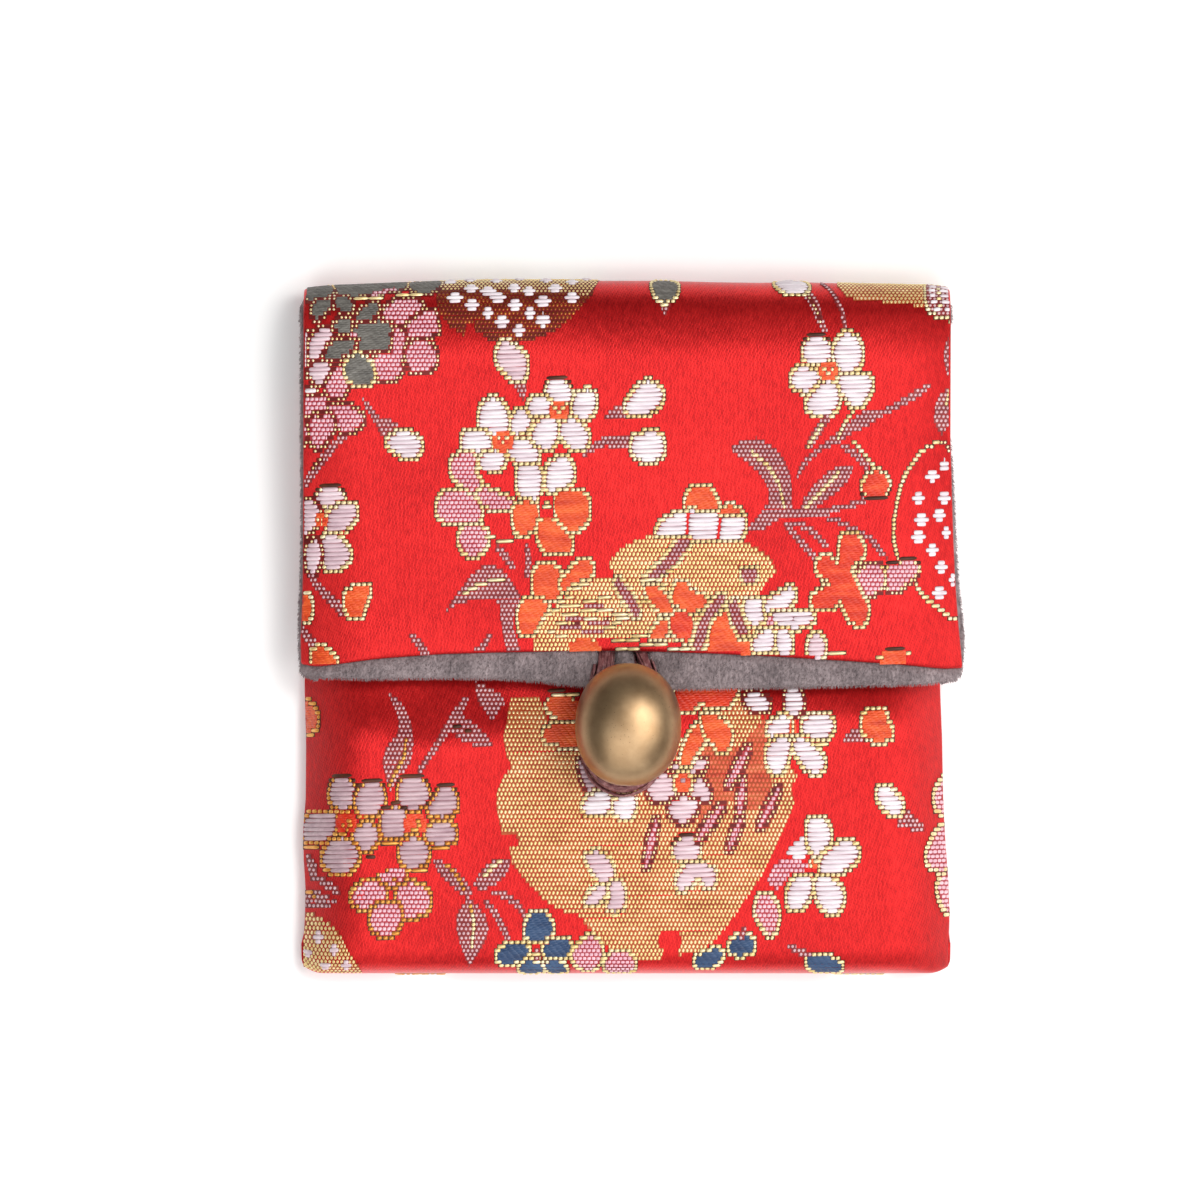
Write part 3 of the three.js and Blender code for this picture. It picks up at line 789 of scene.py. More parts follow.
def spline(points, n):
    """centripetal-like Catmull-Rom through the points, n samples at even arc length"""
    p = np.vstack([2 * points[0] - points[1], points, 2 * points[-1] - points[-2]])
    out = []
    for i in range(1, len(p) - 2):
        t = np.linspace(0, 1, 24, endpoint=False)[:, None]
        a, b, c, d = p[i - 1], p[i], p[i + 1], p[i + 2]
        out.append(0.5 * ((2 * b) + (-a + c) * t + (2 * a - 5 * b + 4 * c - d) * t ** 2 + (-a + 3 * b - 3 * c + d) * t ** 3))
    out.append(points[-1][None])
    q = np.vstack(out)
    s = np.concatenate([[0], np.cumsum(np.linalg.norm(np.diff(q, axis=0), axis=1))])
    k = np.linspace(0, s[-1], n)
    return np.stack([np.interp(k, s, q[:, i]) for i in range(3)], -1), s[-1]


CORD_LINE, CORD_LEN = spline(CORD_PATH, 150)
R_CORD = 1.05


def press(grid):
    """lowers the velvet under the two strands"""
    g = grid.copy()
    flat = g.reshape(-1, 3)
    near = (np.abs(flat[:, 0] + 1.2) < 7) & (flat[:, 1] < 2) & (flat[:, 1] > -10) & (flat[:, 2] > 9.3)
    idx = np.where(near)[0]
    p = flat[idx]
    d = np.sqrt(((p[:, None, :2] - CORD_LINE[None, :, :2]) ** 2).sum(-1))
    j = d.argmin(1)
    dm = d[np.arange(len(j)), j]
    floor_z = CORD_LINE[j, 2] - np.sqrt(np.maximum(0, (R_CORD + 0.05) ** 2 - dm ** 2))
    lower = np.minimum(p[:, 2], np.where(dm < R_CORD + 0.05, floor_z, p[:, 2]))
    flat[idx, 2] = lower
    return flat.reshape(g.shape)


lg = press(lining_grid())
lg = turned(lg, 0.75, 0.8, ends=(False, True), steps=8)
low = flap_z(np.clip(lg[..., 0], float(FLAP_L(0)) + 1.2, float(FLAP_R(0)) - 1.2), np.maximum(lg[..., 1], -2.0)) - 2.45
tip = (lg[..., 1] < 0.5) & (lg[..., 1] > -9.5) & (np.abs(lg[..., 0]) > 38.5) & (lg[..., 2] > 4.5) & (np.arange(lg.shape[0]) > 90)[:, None]
lg[..., 2] = np.where(tip, np.maximum(lg[..., 2], low), lg[..., 2])
lining = make_mesh("velvet_lining_cloth", lg.reshape(-1, 3), grid_faces(lg.shape[0], lg.shape[1]), M_VELVET)
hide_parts("velvet_lining")

# pile: short fibres standing on the velvet where it shows
def pile():
    nr, nc = lg.shape[:2]
    du = np.gradient(lg, axis=1)
    dv = np.gradient(lg, axis=0)
    nrm = unit(np.cross(dv, du))
    cellp, celln, cellw = [], [], []
    P4 = lg
    area = np.linalg.norm(np.cross(P4[1:, :-1] - P4[:-1, :-1], P4[:-1, 1:] - P4[:-1, :-1]), axis=-1)
    mid = (P4[1:, :-1] + P4[:-1, 1:]) / 2
    hem_y = HEM(mid[..., 0])
    shown = (mid[..., 2] > 7.0) & (mid[..., 1] < hem_y + 0.3)
    side = (mid[..., 2] > 5.0) & (mid[..., 1] < 42) & ((mid[..., 0] < FLAP_L(mid[..., 1]) + 0.15) | (mid[..., 0] > FLAP_R(mid[..., 1]) - 0.15))
    w = area * (shown | side)
    w[:nr - 140] = 0
    prob = (w / w.sum()).reshape(-1)
    n = 21000
    pick = rng.choice(len(prob), n, p=prob)
    r, c = pick // (nc - 1), pick % (nc - 1)
    a, b = rng.random(n)[:, None], rng.random(n)[:, None]
    base = (P4[r, c] * (1 - a) + P4[r + 1, c] * a) * (1 - b) + (P4[r, c + 1] * (1 - a) + P4[r + 1, c + 1] * a) * b
    nn = nrm[r, c]
    lean = unit(nn + np.stack([rng.normal(0, 0.30, n), -0.75 + rng.normal(0, 0.35, n), rng.normal(0, 0.2, n)], -1))
    length = rng.uniform(0.22, 0.48, n)[:, None]
    width = rng.uniform(0.025, 0.05, n)[:, None]
    sidev = unit(np.cross(lean, rng.normal(0, 1, (n, 3))))
    base = base - nn * 0.03
    q0 = base - sidev * width
    q1 = base + sidev * width
    m = base + lean * length * 0.6 + nn * 0.02
    q2 = m + sidev * width * 0.8
    q3 = m - sidev * width * 0.8
    tip = base + lean * length + np.array([0, -0.06, 0.0])
    v = np.stack([q0, q1, q2, q3, tip], 1).reshape(-1, 3)
    k = np.arange(n)[:, None] * 5
    quads = k + np.array([[0, 1, 2, 3]])
    tris = k + np.array([[3, 2, 4]])
    return make_mesh("velvet_pile", v, [quads, tris], M_PILE)


pile_ob = pile()

# =====================================================================
# the figured weave. Shapes are drawn row by row as the loom does it: every
# weft row crosses the shapes in runs, and each run becomes raised floats.
# =====================================================================
PITCH_F = 4.30
PITCH_B = 4.50
XS = np.arange(292.0, 974.0, 1.0)
(NONE, WHITE, WHITE_SHADED, PINK, MAUVE, GREEN, ORANGE, BLUE, GOLDG, GOLDG_SHADED, GOLDG_LESS_SHADED, OUTL, OUTD, SHADE_BAR, GDASH, PALE, ORED, GOLDH, BRICK) = range(19)


class Weave:
    def __init__(self, P, v0, v1, valid, pitch):
        self.P = P
        self.pitch = pitch
        self.rows = np.arange(v0, v1, pitch)
        self.x, self.v = np.meshgrid(XS, self.rows)
        self.lab = np.zeros(self.x.shape, int)
        self.valid = valid

    def put(self, mask, label, edge="gold", top=None, bot=None):
        if edge:
            kinds = {"gold": OUTL, "dark": OUTD, "shade_bar": SHADE_BAR, "none": None}
            side = mask.copy()
            for d in (1, 2, 3):
                side[:, d:] |= mask[:, :-d]
                side[:, :-d] |= mask[:, d:]
            wide = side
            up = np.zeros_like(mask)
            up[:-1] = wide[1:]
            dn = np.zeros_like(mask)
            dn[1:] = wide[:-1]
            for ring, kind in ((up & ~side, top or edge), (dn & ~side, bot or edge), (side & ~mask, edge if edge != "shade_bar" else "dark")):
                if kinds[kind] is not None:
                    self.lab[ring] = kinds[kind]
        self.lab[mask] = label

    def inside(self, pts):
        x, v = self.x, self.v
        m = np.zeros(x.shape, bool)
        n = len(pts)
        for i in range(n):
            x1, y1 = pts[i]
            x2, y2 = pts[(i + 1) % n]
            if y1 == y2:
                continue
            m ^= ((y1 > v) != (y2 > v)) & (x < (x2 - x1) * (v - y1) / (y2 - y1) + x1)
        return m

    @staticmethod
    def rounded(pts, n=7):
        p = np.array(pts, float)
        out = []
        k = len(p)
        for i in range(k):
            a, b, c, d = p[i - 1], p[i], p[(i + 1) % k], p[(i + 2) % k]
            for t in np.linspace(0, 1, n, endpoint=False):
                out.append(0.5 * ((2 * b) + (-a + c) * t + (2 * a - 5 * b + 4 * c - d) * t ** 2 + (-a + 3 * b - 3 * c + d) * t ** 3))
        return [tuple(q) for q in out]

    def blob(self, pts, label=WHITE, edge="gold", top=None, bot=None):
        self.put(self.inside(self.rounded(pts)), label, edge, top, bot)

    def poly(self, pts, label, edge=None, top=None, bot=None):
        self.put(self.inside(pts), label, edge, top, bot)

    def ell(self, cx, cy, a, b, label=WHITE, edge=None, ang=0.0, sq=2.3):
        c, s = math.cos(ang), math.sin(ang)
        u = (self.x - cx) * c + (self.v - cy) * s
        w = -(self.x - cx) * s + (self.v - cy) * c
        self.put((np.abs(u) / a) ** sq + (np.abs(w) / b) ** sq < 1, label, edge)

    def heart(self, cx, cy, r=9.0, bits=((0, 2), (-4, -2), (4, -3)), label=ORANGE):
        self.ell(cx, cy, r, r * 0.85, label)
        self.ell(cx, cy, r * 0.5, r * 0.42, ORED)
        for dx, dy in bits:
            self.ell(cx + dx, cy + dy, 2.3, 2.2, OUTL)

    def stroke(self, pts, w, label=MAUVE, edge=None):
        """a stem or thin leaf: w is one width or one for each point, in half widths"""
        p = np.array(pts, float)
        w = np.broadcast_to(np.asarray(w, float), (len(p),))
        t0 = np.concatenate([[0], np.cumsum(np.linalg.norm(np.diff(p, axis=0), axis=1))])
        n = max(8, int(t0[-1] / 1.3))
        k = np.linspace(0, t0[-1], n)
        q = np.stack([np.interp(k, t0, p[:, 0]), np.interp(k, t0, p[:, 1]), np.interp(k, t0, w)], -1)
        m = np.zeros(self.x.shape, bool)
        for cx, cy, r in q:
            near = (np.abs(self.v - cy) < max(r, self.pitch * 0.52)) & (np.abs(self.x - cx) < r)
            m |= near & (((self.x - cx) / r) ** 2 + ((self.v - cy) / max(r, self.pitch * 0.62)) ** 2 < 1)
        self.put(m, label, edge)

    def rib(self, pts, label=OUTL):
        self.stroke(pts, 1.7, label)

    def cross(self, cx, cy, w=7.0, h=6.6, label=WHITE):
        self.ell(cx, cy, w, 2.6, label, None, 0, 4)
        self.ell(cx, cy, w * 0.58, h, label, None, 0, 4)

    def dash(self, x0, x1, v, label=GDASH):
        r = int(np.argmin(np.abs(self.rows - v)))
        a, b = int(x0 - XS[0]), int(x1 - XS[0])
        self.lab[r, max(0, a):max(0, b)] = label


def flap_valid(x, v):
    xm, y = X(x), Y(v)
    inside = y > HEM(xm) + 0.25
    yy = np.minimum(y, 44)
    return inside & (xm > FLAP_L(yy) + 0.35) & (xm < FLAP_R(yy) - 0.35)


def body_valid(x, v):
    xm, y = X(x), np.maximum(Y(v), YB_C)
    return (xm > BODY_L(y) + 0.4) & (xm < BODY_R(y) - 0.4)


# ---------------------------------------------------------------- the flap's figures
def V_of(py):
    """returns the layout row unchanged; no foreshortening of the rows near the top fold is done here"""
    return py


W = Weave(P_flap, 150.0, 672.0, flap_valid, PITCH_F)
# -- gold mound
W.poly([(532, 662), (534, 640), (541, 624), (550, 611), (560, 602), (570, 592), (580, 583), (594, 580), (613, 580), (615, 573), (608, 566), (612, 557), (622, 548),
        (634, 540), (650, 536), (668, 538), (714, 541), (742, 542), (756, 548), (766, 555), (773, 563), (777, 572), (766, 582), (758, 596), (752, 662)], GOLDH)
# -- gold half disc at the top fold, in darker copies of the gold dots and ground where the flap leans away: painted shade, lighter towards the fold
W.poly([(436, 236), (437, 303), (441, 314), (447, 322), (452, 330), (459, 331), (464, 337), (467, 326), (474, 322), (476, 332), (484, 335), (490, 342), (500, 341),
        (506, 337), (514, 343), (528, 342), (544, 336), (557, 330), (567, 322), (577, 312), (585, 302), (592, 293), (598, 270), (600, 236)], GOLDG_SHADED)
W.poly([(434, 150), (436, 284), (470, 283), (520, 288), (560, 290), (590, 293), (598, 270), (600, 150)], GOLDG_LESS_SHADED)
for p in [(455, 297, 9), (471, 284, 8), (472, 305, 8), (488, 288, 9), (498, 297, 9), (488, 312, 6), (515, 304, 8), (502, 323, 8), (519, 330, 7), (514, 282, 7),
          (529, 289, 7), (555, 284, 8), (543, 301, 9), (572, 297, 8), (530, 313, 6), (543, 320, 8), (450, 268, 7), (470, 262, 7), (496, 266, 7), (520, 258, 7),
          (546, 264, 7), (572, 270, 7), (586, 256, 6), (458, 246, 7), (486, 244, 7)]:
    W.cross(p[0], p[1], p[2])
# -- gold patch and spot at the top right
W.poly([(836, 180), (838, 276), (846, 292), (858, 299), (890, 301), (915, 305), (953, 311), (953, 180)], GOLDG)
W.poly([(926, 262), (927, 300), (931, 312), (953, 318), (953, 262)], MAUVE, "gold")
for (a, b, v) in [(930, 937, 274), (941, 951, 274), (929, 936, 283), (940, 950, 283), (930, 936, 292), (941, 949, 292), (931, 938, 300), (942, 950, 300),
                  (934, 941, 309), (945, 952, 309)]:
    W.dash(a, b, v, WHITE)
for (a, b, v) in [(937, 941, 279), (937, 942, 287), (937, 942, 296), (938, 943, 304)]:
    W.dash(a, b, v, GDASH)
# -- upper left cluster
W.blob([(300, 268), (308, 256), (322, 258), (331, 270), (332, 286), (322, 296), (310, 297), (300, 288)], GREEN, "dark")
W.blob([(336, 250), (372, 246), (404, 250), (405, 278), (388, 286), (366, 290), (345, 294), (337, 282)], GREEN, "dark")
W.blob([(412, 262), (438, 256), (440, 276), (430, 288), (418, 288), (411, 280)], GREEN, "dark")
W.dash(346, 384, 296)
W.dash(396, 424, 293)
W.stroke([(374, 290), (394, 282)], 3.0, PINK)
W.blob([(318, 299), (327, 297), (331, 303), (326, 311), (318, 318), (313, 315), (313, 307)], GREEN, "dark")
W.blob([(337, 296), (346, 295), (352, 303), (350, 311), (342, 310), (336, 304)], GREEN, "dark")
W.blob([(304, 334), (309, 338), (309, 352), (306, 366), (300, 380), (298, 350)], PALE, "dark")
W.blob([(320, 330), (328, 329), (333, 336), (328, 344), (322, 352), (318, 360), (312, 362), (309, 352), (311, 340)], PALE, "dark")
W.blob([(314, 365), (324, 363), (331, 368), (329, 376), (322, 386), (314, 380), (309, 371)], PALE, "dark")
W.blob([(300, 396), (308, 387), (317, 392), (309, 402), (300, 412)], WHITE, "dark")
W.blob([(384, 313), (390, 304), (400, 298), (412, 297), (420, 303), (424, 311), (418, 318), (406, 322), (394, 322), (386, 318)], PINK, "dark")
W.blob([(406, 328), (418, 317), (428, 312), (435, 314), (437, 324), (438, 332), (428, 336), (418, 339), (408, 338)], PINK, "dark")
W.blob([(394, 330), (404, 334), (406, 345), (401, 360), (402, 370), (393, 380), (382, 380), (376, 370), (375, 359), (386, 353), (393, 346)], PINK, "dark")
W.blob([(410, 346), (420, 341), (430, 345), (436, 354), (435, 364), (426, 372), (414, 371), (408, 362), (406, 352)], PINK, "dark")
W.blob([(356, 319), (362, 310), (370, 304), (378, 305), (377, 313), (368, 321), (359, 324)], GREEN, "dark")
W.blob([(334, 326), (341, 321), (349, 321), (356, 327), (351, 332), (341, 332)], GREEN, "dark")
W.blob([(354, 329), (366, 324), (380, 322), (389, 326), (392, 331), (388, 335), (391, 342), (386, 350), (374, 352), (362, 350), (359, 345), (362, 338), (356, 335)],
       GREEN, "dark")
W.blob([(326, 356), (330, 346), (340, 341), (352, 340), (354, 346), (347, 354), (336, 358), (327, 359)], GREEN, "dark")
W.blob([(336, 370), (342, 366), (346, 376), (347, 388), (340, 398), (330, 396), (326, 388), (330, 380)], PINK, "dark")
W.blob([(350, 360), (358, 356), (366, 360), (373, 370), (373, 378), (367, 386), (356, 384), (347, 376), (346, 367)], GREEN, "gold")
W.ell(354, 334, 3.5, 3.0, PINK)
W.blob([(302, 404), (314, 396), (326, 399), (330, 408), (324, 416), (312, 420), (302, 424)], PINK, "dark")
W.blob([(331, 405), (344, 405), (356, 411), (364, 419), (357, 428), (345, 431), (336, 424), (330, 414)], PINK, "dark")
W.blob([(311, 420), (322, 413), (332, 418), (334, 428), (326, 440), (318, 447), (310, 439), (306, 430)], PINK, "dark")
W.blob([(299, 418), (305, 424), (307, 434), (300, 444)], PINK, "dark")
W.ell(320, 416, 3.4, 4.2, OUTD)
W.stroke([(344, 438), (336, 444), (326, 456), (316, 468), (306, 485)], [3.2, 4.0, 4.4, 4.2, 3.4], MAUVE)
W.rib([(322, 458), (313, 468)], OUTD)
W.poly([(362, 397), (370, 404), (380, 418), (392, 421), (399, 425), (395, 434), (388, 443), (381, 434), (374, 421), (366, 409)], MAUVE)
W.blob([(388, 441), (396, 434), (404, 431), (414, 436), (421, 444), (418, 454), (408, 458), (398, 453), (391, 447)], WHITE)
# -- lilac bud under the half disc
W.poly([(510, 378), (524, 372), (527, 388), (524, 402), (518, 392)], MAUVE)
W.blob([(498, 351), (504, 341), (514, 347), (524, 356), (527, 369), (521, 381), (512, 378), (503, 369), (497, 360)], PALE)
# -- two white flowers
W.blob([(512, 420), (518, 411), (526, 410), (531, 418), (528, 428), (518, 434), (511, 430)], WHITE)
W.blob([(482, 408), (489, 400), (497, 400), (504, 408), (508, 420), (506, 432), (494, 434), (482, 432), (479, 420)], WHITE)
W.blob([(462, 446), (464, 434), (474, 431), (484, 433), (492, 443), (490, 452), (474, 453), (464, 452)], WHITE)
W.blob([(508, 447), (518, 440), (530, 442), (538, 452), (536, 463), (524, 464), (512, 457)], WHITE)
W.blob([(480, 460), (486, 454), (496, 451), (504, 456), (503, 465), (494, 472), (484, 470)], WHITE)
W.blob([(546, 391), (550, 382), (560, 380), (568, 386), (572, 396), (570, 402), (556, 403), (546, 402)], WHITE, "gold", "shade_bar")
W.blob([(574, 402), (579, 393), (590, 391), (595, 398), (594, 410), (586, 418), (574, 414)], WHITE)
W.blob([(529, 405), (536, 397), (546, 399), (552, 407), (549, 416), (538, 416), (530, 412)], WHITE)
W.blob([(534, 430), (540, 421), (552, 419), (559, 426), (557, 438), (549, 448), (538, 445), (532, 437)], WHITE)
W.blob([(562, 425), (572, 420), (582, 426), (588, 436), (586, 446), (578, 451), (568, 444), (561, 434)], WHITE)
W.heart(559, 411, 10)
W.heart(503, 442, 11)
W.poly([(478, 470), (500, 476), (512, 462), (516, 476), (516, 492), (500, 496), (482, 488)], NONE)
W.blob([(519, 468), (530, 464), (540, 470), (541, 484), (538, 497), (527, 499), (519, 491), (517, 479)], WHITE)
W.blob([(549, 466), (558, 459), (568, 460), (573, 470), (572, 480), (564, 487), (552, 493), (547, 486), (547, 475)], WHITE)
W.blob([(476, 482), (486, 489), (500, 495), (513, 503), (506, 511), (492, 508), (480, 500)], PINK)
W.blob([(452, 462), (460, 455), (470, 454), (476, 460), (474, 472), (480, 484), (472, 491), (462, 484), (453, 474)], PINK)
W.blob([(440, 500), (448, 491), (462, 492), (474, 499), (481, 510), (478, 520), (462, 523), (448, 522), (438, 513)], PINK)
W.blob([(462, 531), (472, 525), (484, 530), (488, 538), (484, 548), (476, 555), (466, 553), (460, 542)], PINK)
W.dash(485, 496, 537)
W.dash(497, 514, 541)
W.dash(515, 524, 536)
W.blob([(556, 497), (566, 490), (580, 492), (588, 502), (588, 516), (582, 526), (570, 530), (560, 520), (555, 508)], ORANGE)
W.blob([(514, 510), (522, 503), (534, 504), (538, 514), (536, 526), (526, 533), (516, 530)], ORANGE)
W.blob([(541, 521), (552, 520), (562, 530), (571, 541), (570, 550), (560, 554), (548, 552), (540, 541), (538, 529)], ORANGE)
W.poly([(540, 495), (554, 495), (554, 517), (540, 517)], NONE)
W.cross(547, 506, 5.0, 5.0, GDASH)
# -- orange flower at the mound's left
W.blob([(536, 570), (544, 563), (552, 566), (561, 575), (562, 587), (556, 598), (544, 602), (536, 596), (533, 582)], ORANGE)
W.blob([(570, 572), (578, 563), (588, 562), (593, 569), (588, 577), (574, 582), (564, 590), (561, 582)], ORANGE)
W.blob([(522, 603), (540, 601), (548, 606), (540, 619), (535, 630), (524, 635), (519, 622)], ORANGE)
# -- mauve leaf group
W.poly([(446, 612), (452, 600), (462, 588), (472, 574), (482, 567), (496, 567), (506, 573), (514, 585), (521, 598), (515, 610), (513, 624), (517, 640), (522, 652),
        (508, 654), (504, 640), (501, 620), (501, 604), (494, 600), (478, 600), (464, 602), (454, 606)], MAUVE)
for a, b, v in [(463, 470, 593), (468, 478, 589), (475, 488, 583), (488, 506, 578)]:
    W.dash(a, b, v)
W.stroke([(498, 548), (505, 556), (513, 567)], [3.0, 3.6, 3.0])
W.stroke([(527, 548), (529, 560), (527, 576)], [2.6, 3.0, 2.6])
W.stroke([(412, 636), (420, 644), (426, 655)], [3.0, 4.0, 4.0])
W.stroke([(490, 636), (484, 646), (474, 654)], [2.6, 3.4, 4.0])
# -- left white flower
W.blob([(316, 500), (322, 490), (332, 486), (341, 492), (344, 501), (336, 507), (324, 506)], PALE, "gold", "shade_bar")
W.blob([(299, 506), (308, 500), (317, 506), (320, 515), (316, 525), (307, 533), (299, 538)], PALE, "dark")
W.blob([(330, 513), (342, 505), (352, 504), (357, 512), (352, 522), (344, 530), (330, 532), (327, 522)], PALE)
W.blob([(322, 541), (332, 534), (341, 540), (348, 549), (350, 557), (344, 564), (334, 571), (326, 566), (322, 552)], PALE, "gold")
W.blob([(308, 546), (317, 541), (321, 552), (319, 564), (314, 573), (308, 568), (307, 556)], PALE, "dark")
W.heart(322, 520, 7)
W.stroke([(311, 576), (318, 586), (328, 597), (338, 606), (343, 614)], [2.6, 3.4, 4.4, 4.8, 3.6])
W.blob([(347, 593), (358, 587), (369, 586), (368, 597), (364, 607), (362, 616), (352, 617), (346, 606)], ORANGE)
W.blob([(298, 600), (305, 594), (311, 602), (311, 614), (305, 622), (298, 620)], ORANGE)
W.stroke([(301, 628), (310, 640), (318, 648)], [3.2, 4.6, 3.4])
W.poly([(313, 651), (322, 647), (332, 655), (337, 662), (326, 668), (313, 668)], ORANGE, "gold")
# -- white buds
W.poly([(602, 419), (610, 411), (616, 406), (628, 406), (634, 413), (632, 420)], MAUVE)
W.blob([(626, 404), (632, 396), (640, 386), (648, 382), (656, 386), (662, 394), (659, 404), (650, 412), (638, 416), (628, 412)], WHITE)
W.poly([(582, 456), (590, 447), (598, 439), (610, 436), (632, 436), (634, 446), (634, 452), (622, 450), (606, 446), (592, 452), (585, 457)], MAUVE)
W.blob([(634, 438), (644, 434), (654, 433), (661, 438), (664, 448), (661, 456), (650, 461), (638, 458), (632, 448)], WHITE)
# -- bud at the top fold
W.poly([(657, 300), (672, 300), (668, 310), (665, 316), (661, 309)], MAUVE)
W.blob([(653, 272), (664, 262), (675, 272), (677, 286), (671, 298), (662, 300), (655, 290)], GREEN, "gold")
# -- white bud and two stems at the top
W.poly([(802, 278), (811, 286), (818, 300), (822, 315), (828, 333), (824, 335), (816, 321), (810, 305), (802, 292)], MAUVE)
W.rib([(806, 288), (814, 306), (820, 320)], OUTD)
W.stroke([(822, 268), (834, 292), (842, 312), (846, 333)], 2.2, MAUVE)
W.blob([(776, 264), (790, 256), (804, 266), (808, 280), (801, 290), (788, 289), (778, 278)], WHITE)
# -- white flower at the right
W.blob([(804, 346), (810, 339), (820, 338), (828, 344), (832, 352), (826, 361), (812, 363), (804, 358)], WHITE, "gold", "shade_bar")
W.blob([(834, 352), (838, 341), (846, 334), (856, 339), (861, 350), (860, 362), (854, 369), (842, 370), (836, 362)], WHITE)
W.blob([(792, 376), (798, 369), (808, 369), (818, 375), (820, 382), (812, 391), (800, 390), (792, 384)], WHITE)
W.blob([(838, 379), (848, 375), (862, 375), (870, 379), (872, 386), (866, 397), (859, 407), (850, 403), (844, 394), (838, 387)], WHITE)
W.blob([(808, 401), (815, 391), (826, 382), (835, 385), (838, 396), (836, 408), (826, 415), (814, 413), (807, 408)], WHITE)
W.heart(828, 371, 10)
# -- stems and leaves at the right
W.stroke([(826, 419), (817, 432), (808, 447)], [3.6, 4.6, 3.4])
W.rib([(822, 424), (808, 446)])
W.poly([(935, 382), (921, 396), (900, 408), (880, 418), (866, 428), (852, 433), (840, 443), (824, 449), (810, 461), (800, 475), (795, 482), (799, 466), (812, 452),
        (826, 441), (842, 429), (852, 419), (862, 412), (880, 411), (900, 400), (918, 388)], MAUVE)
W.rib([(853, 412), (844, 424), (838, 436)])
W.poly([(729, 448), (742, 440), (756, 438), (770, 445), (782, 457), (790, 474), (792, 492), (791, 506), (800, 511), (822, 508), (840, 506), (864, 497), (872, 500),
        (850, 509), (826, 514), (846, 522), (862, 531), (874, 538), (884, 552), (888, 560), (880, 556), (868, 541), (852, 532), (834, 522), (814, 516), (790, 519),
        (776, 520), (764, 530), (744, 532), (756, 518), (768, 503), (769, 489), (760, 474), (750, 465), (740, 457)], MAUVE)
W.rib([(752, 453), (767, 465), (778, 482), (784, 506)])
W.poly([(853, 464), (840, 465), (826, 473), (814, 485), (804, 498), (799, 510), (812, 510), (826, 500), (838, 492), (848, 480), (853, 468)], MAUVE)
W.rib([(838, 473), (824, 488), (805, 508)])
W.stroke([(786, 524), (797, 523), (812, 531), (826, 546)], [2.6, 3.2, 3.2, 2.6])
W.stroke([(788, 528), (800, 541), (814, 557)], [2.6, 3.4, 2.6])
W.stroke([(843, 446), (856, 455), (866, 466)], [3.0, 3.6, 3.0])
W.rib([(853, 441), (866, 457), (874, 467)])
W.poly([(868, 476), (876, 471), (884, 476), (889, 486), (882, 498), (870, 498), (861, 488)], ORED, "gold", "gold", "shade_bar")
W.blob([(945, 344), (950, 338), (954, 344), (954, 372), (948, 376), (944, 362)], MAUVE, None)
W.blob([(936, 402), (943, 392), (952, 386), (954, 410), (949, 424), (941, 434), (934, 421)], MAUVE, None)
W.rib([(950, 390), (946, 404)])
# -- half disc at the right edge
W.stroke([(941, 441), (930, 446), (920, 452), (912, 464), (904, 476), (900, 488), (897, 502), (894, 516), (893, 535), (895, 550), (899, 560)], 1.9, OUTL)
W.stroke([(941, 441), (948, 446), (953, 458)], 1.9, OUTD)
W.stroke([(916, 586), (924, 597), (936, 606), (947, 616), (963, 622)], 2.0, OUTL)
for p in [(932, 475, 8), (944, 466, 5), (918, 498, 7), (944, 497, 7), (939, 514, 7), (921, 520, 8), (918, 537, 8), (946, 534, 5), (932, 549, 7), (941, 568, 7),
          (953, 580, 5), (939, 592, 8)]:
    W.cross(p[0], p[1], p[2], 6.4)
# -- orange flower and pink bud
W.blob([(855, 580), (862, 570), (872, 564), (880, 568), (884, 578), (880, 588), (868, 595), (858, 591)], PINK, "gold", "dark", "dark")
W.blob([(888, 568), (896, 564), (910, 562), (918, 567), (912, 578), (904, 584), (896, 591), (888, 588), (886, 578)], PINK, "gold", "shade_bar", "dark")
W.blob([(840, 549), (842, 538), (849, 533), (857, 538), (863, 549), (860, 558), (853, 563), (850, 572), (856, 586), (861, 597), (867, 607), (866, 618), (860, 624),
        (851, 620), (845, 610), (840, 600), (830, 608), (818, 609), (811, 601), (818, 592), (831, 583), (823, 576), (816, 566), (824, 557), (832, 560), (838, 566)],
       ORED)
# -- bud on the mound, white band
W.blob([(686, 509), (687, 497), (693, 489), (708, 489), (714, 497), (718, 511), (702, 514)], ORANGE)
W.blob([(721, 512), (727, 507), (736, 508), (742, 515), (732, 517)], ORANGE)
W.poly([(656, 533), (662, 522), (676, 514), (690, 511), (712, 512), (718, 516), (744, 517), (745, 527), (741, 537), (716, 540), (690, 537), (670, 537), (658, 537)],
       WHITE, "gold")
W.stroke([(688, 514), (687, 535)], 1.2, NONE)
W.stroke([(720, 518), (718, 538)], 1.2, NONE)
W.poly([(690, 538), (688, 546), (676, 562), (662, 574), (648, 584), (640, 584), (652, 572), (664, 560), (674, 546), (680, 538)], MAUVE, "gold")
W.dash(640, 656, 581)
W.ell(749, 575, 8, 6.5, MAUVE, "gold")
W.dash(656, 669, 585)
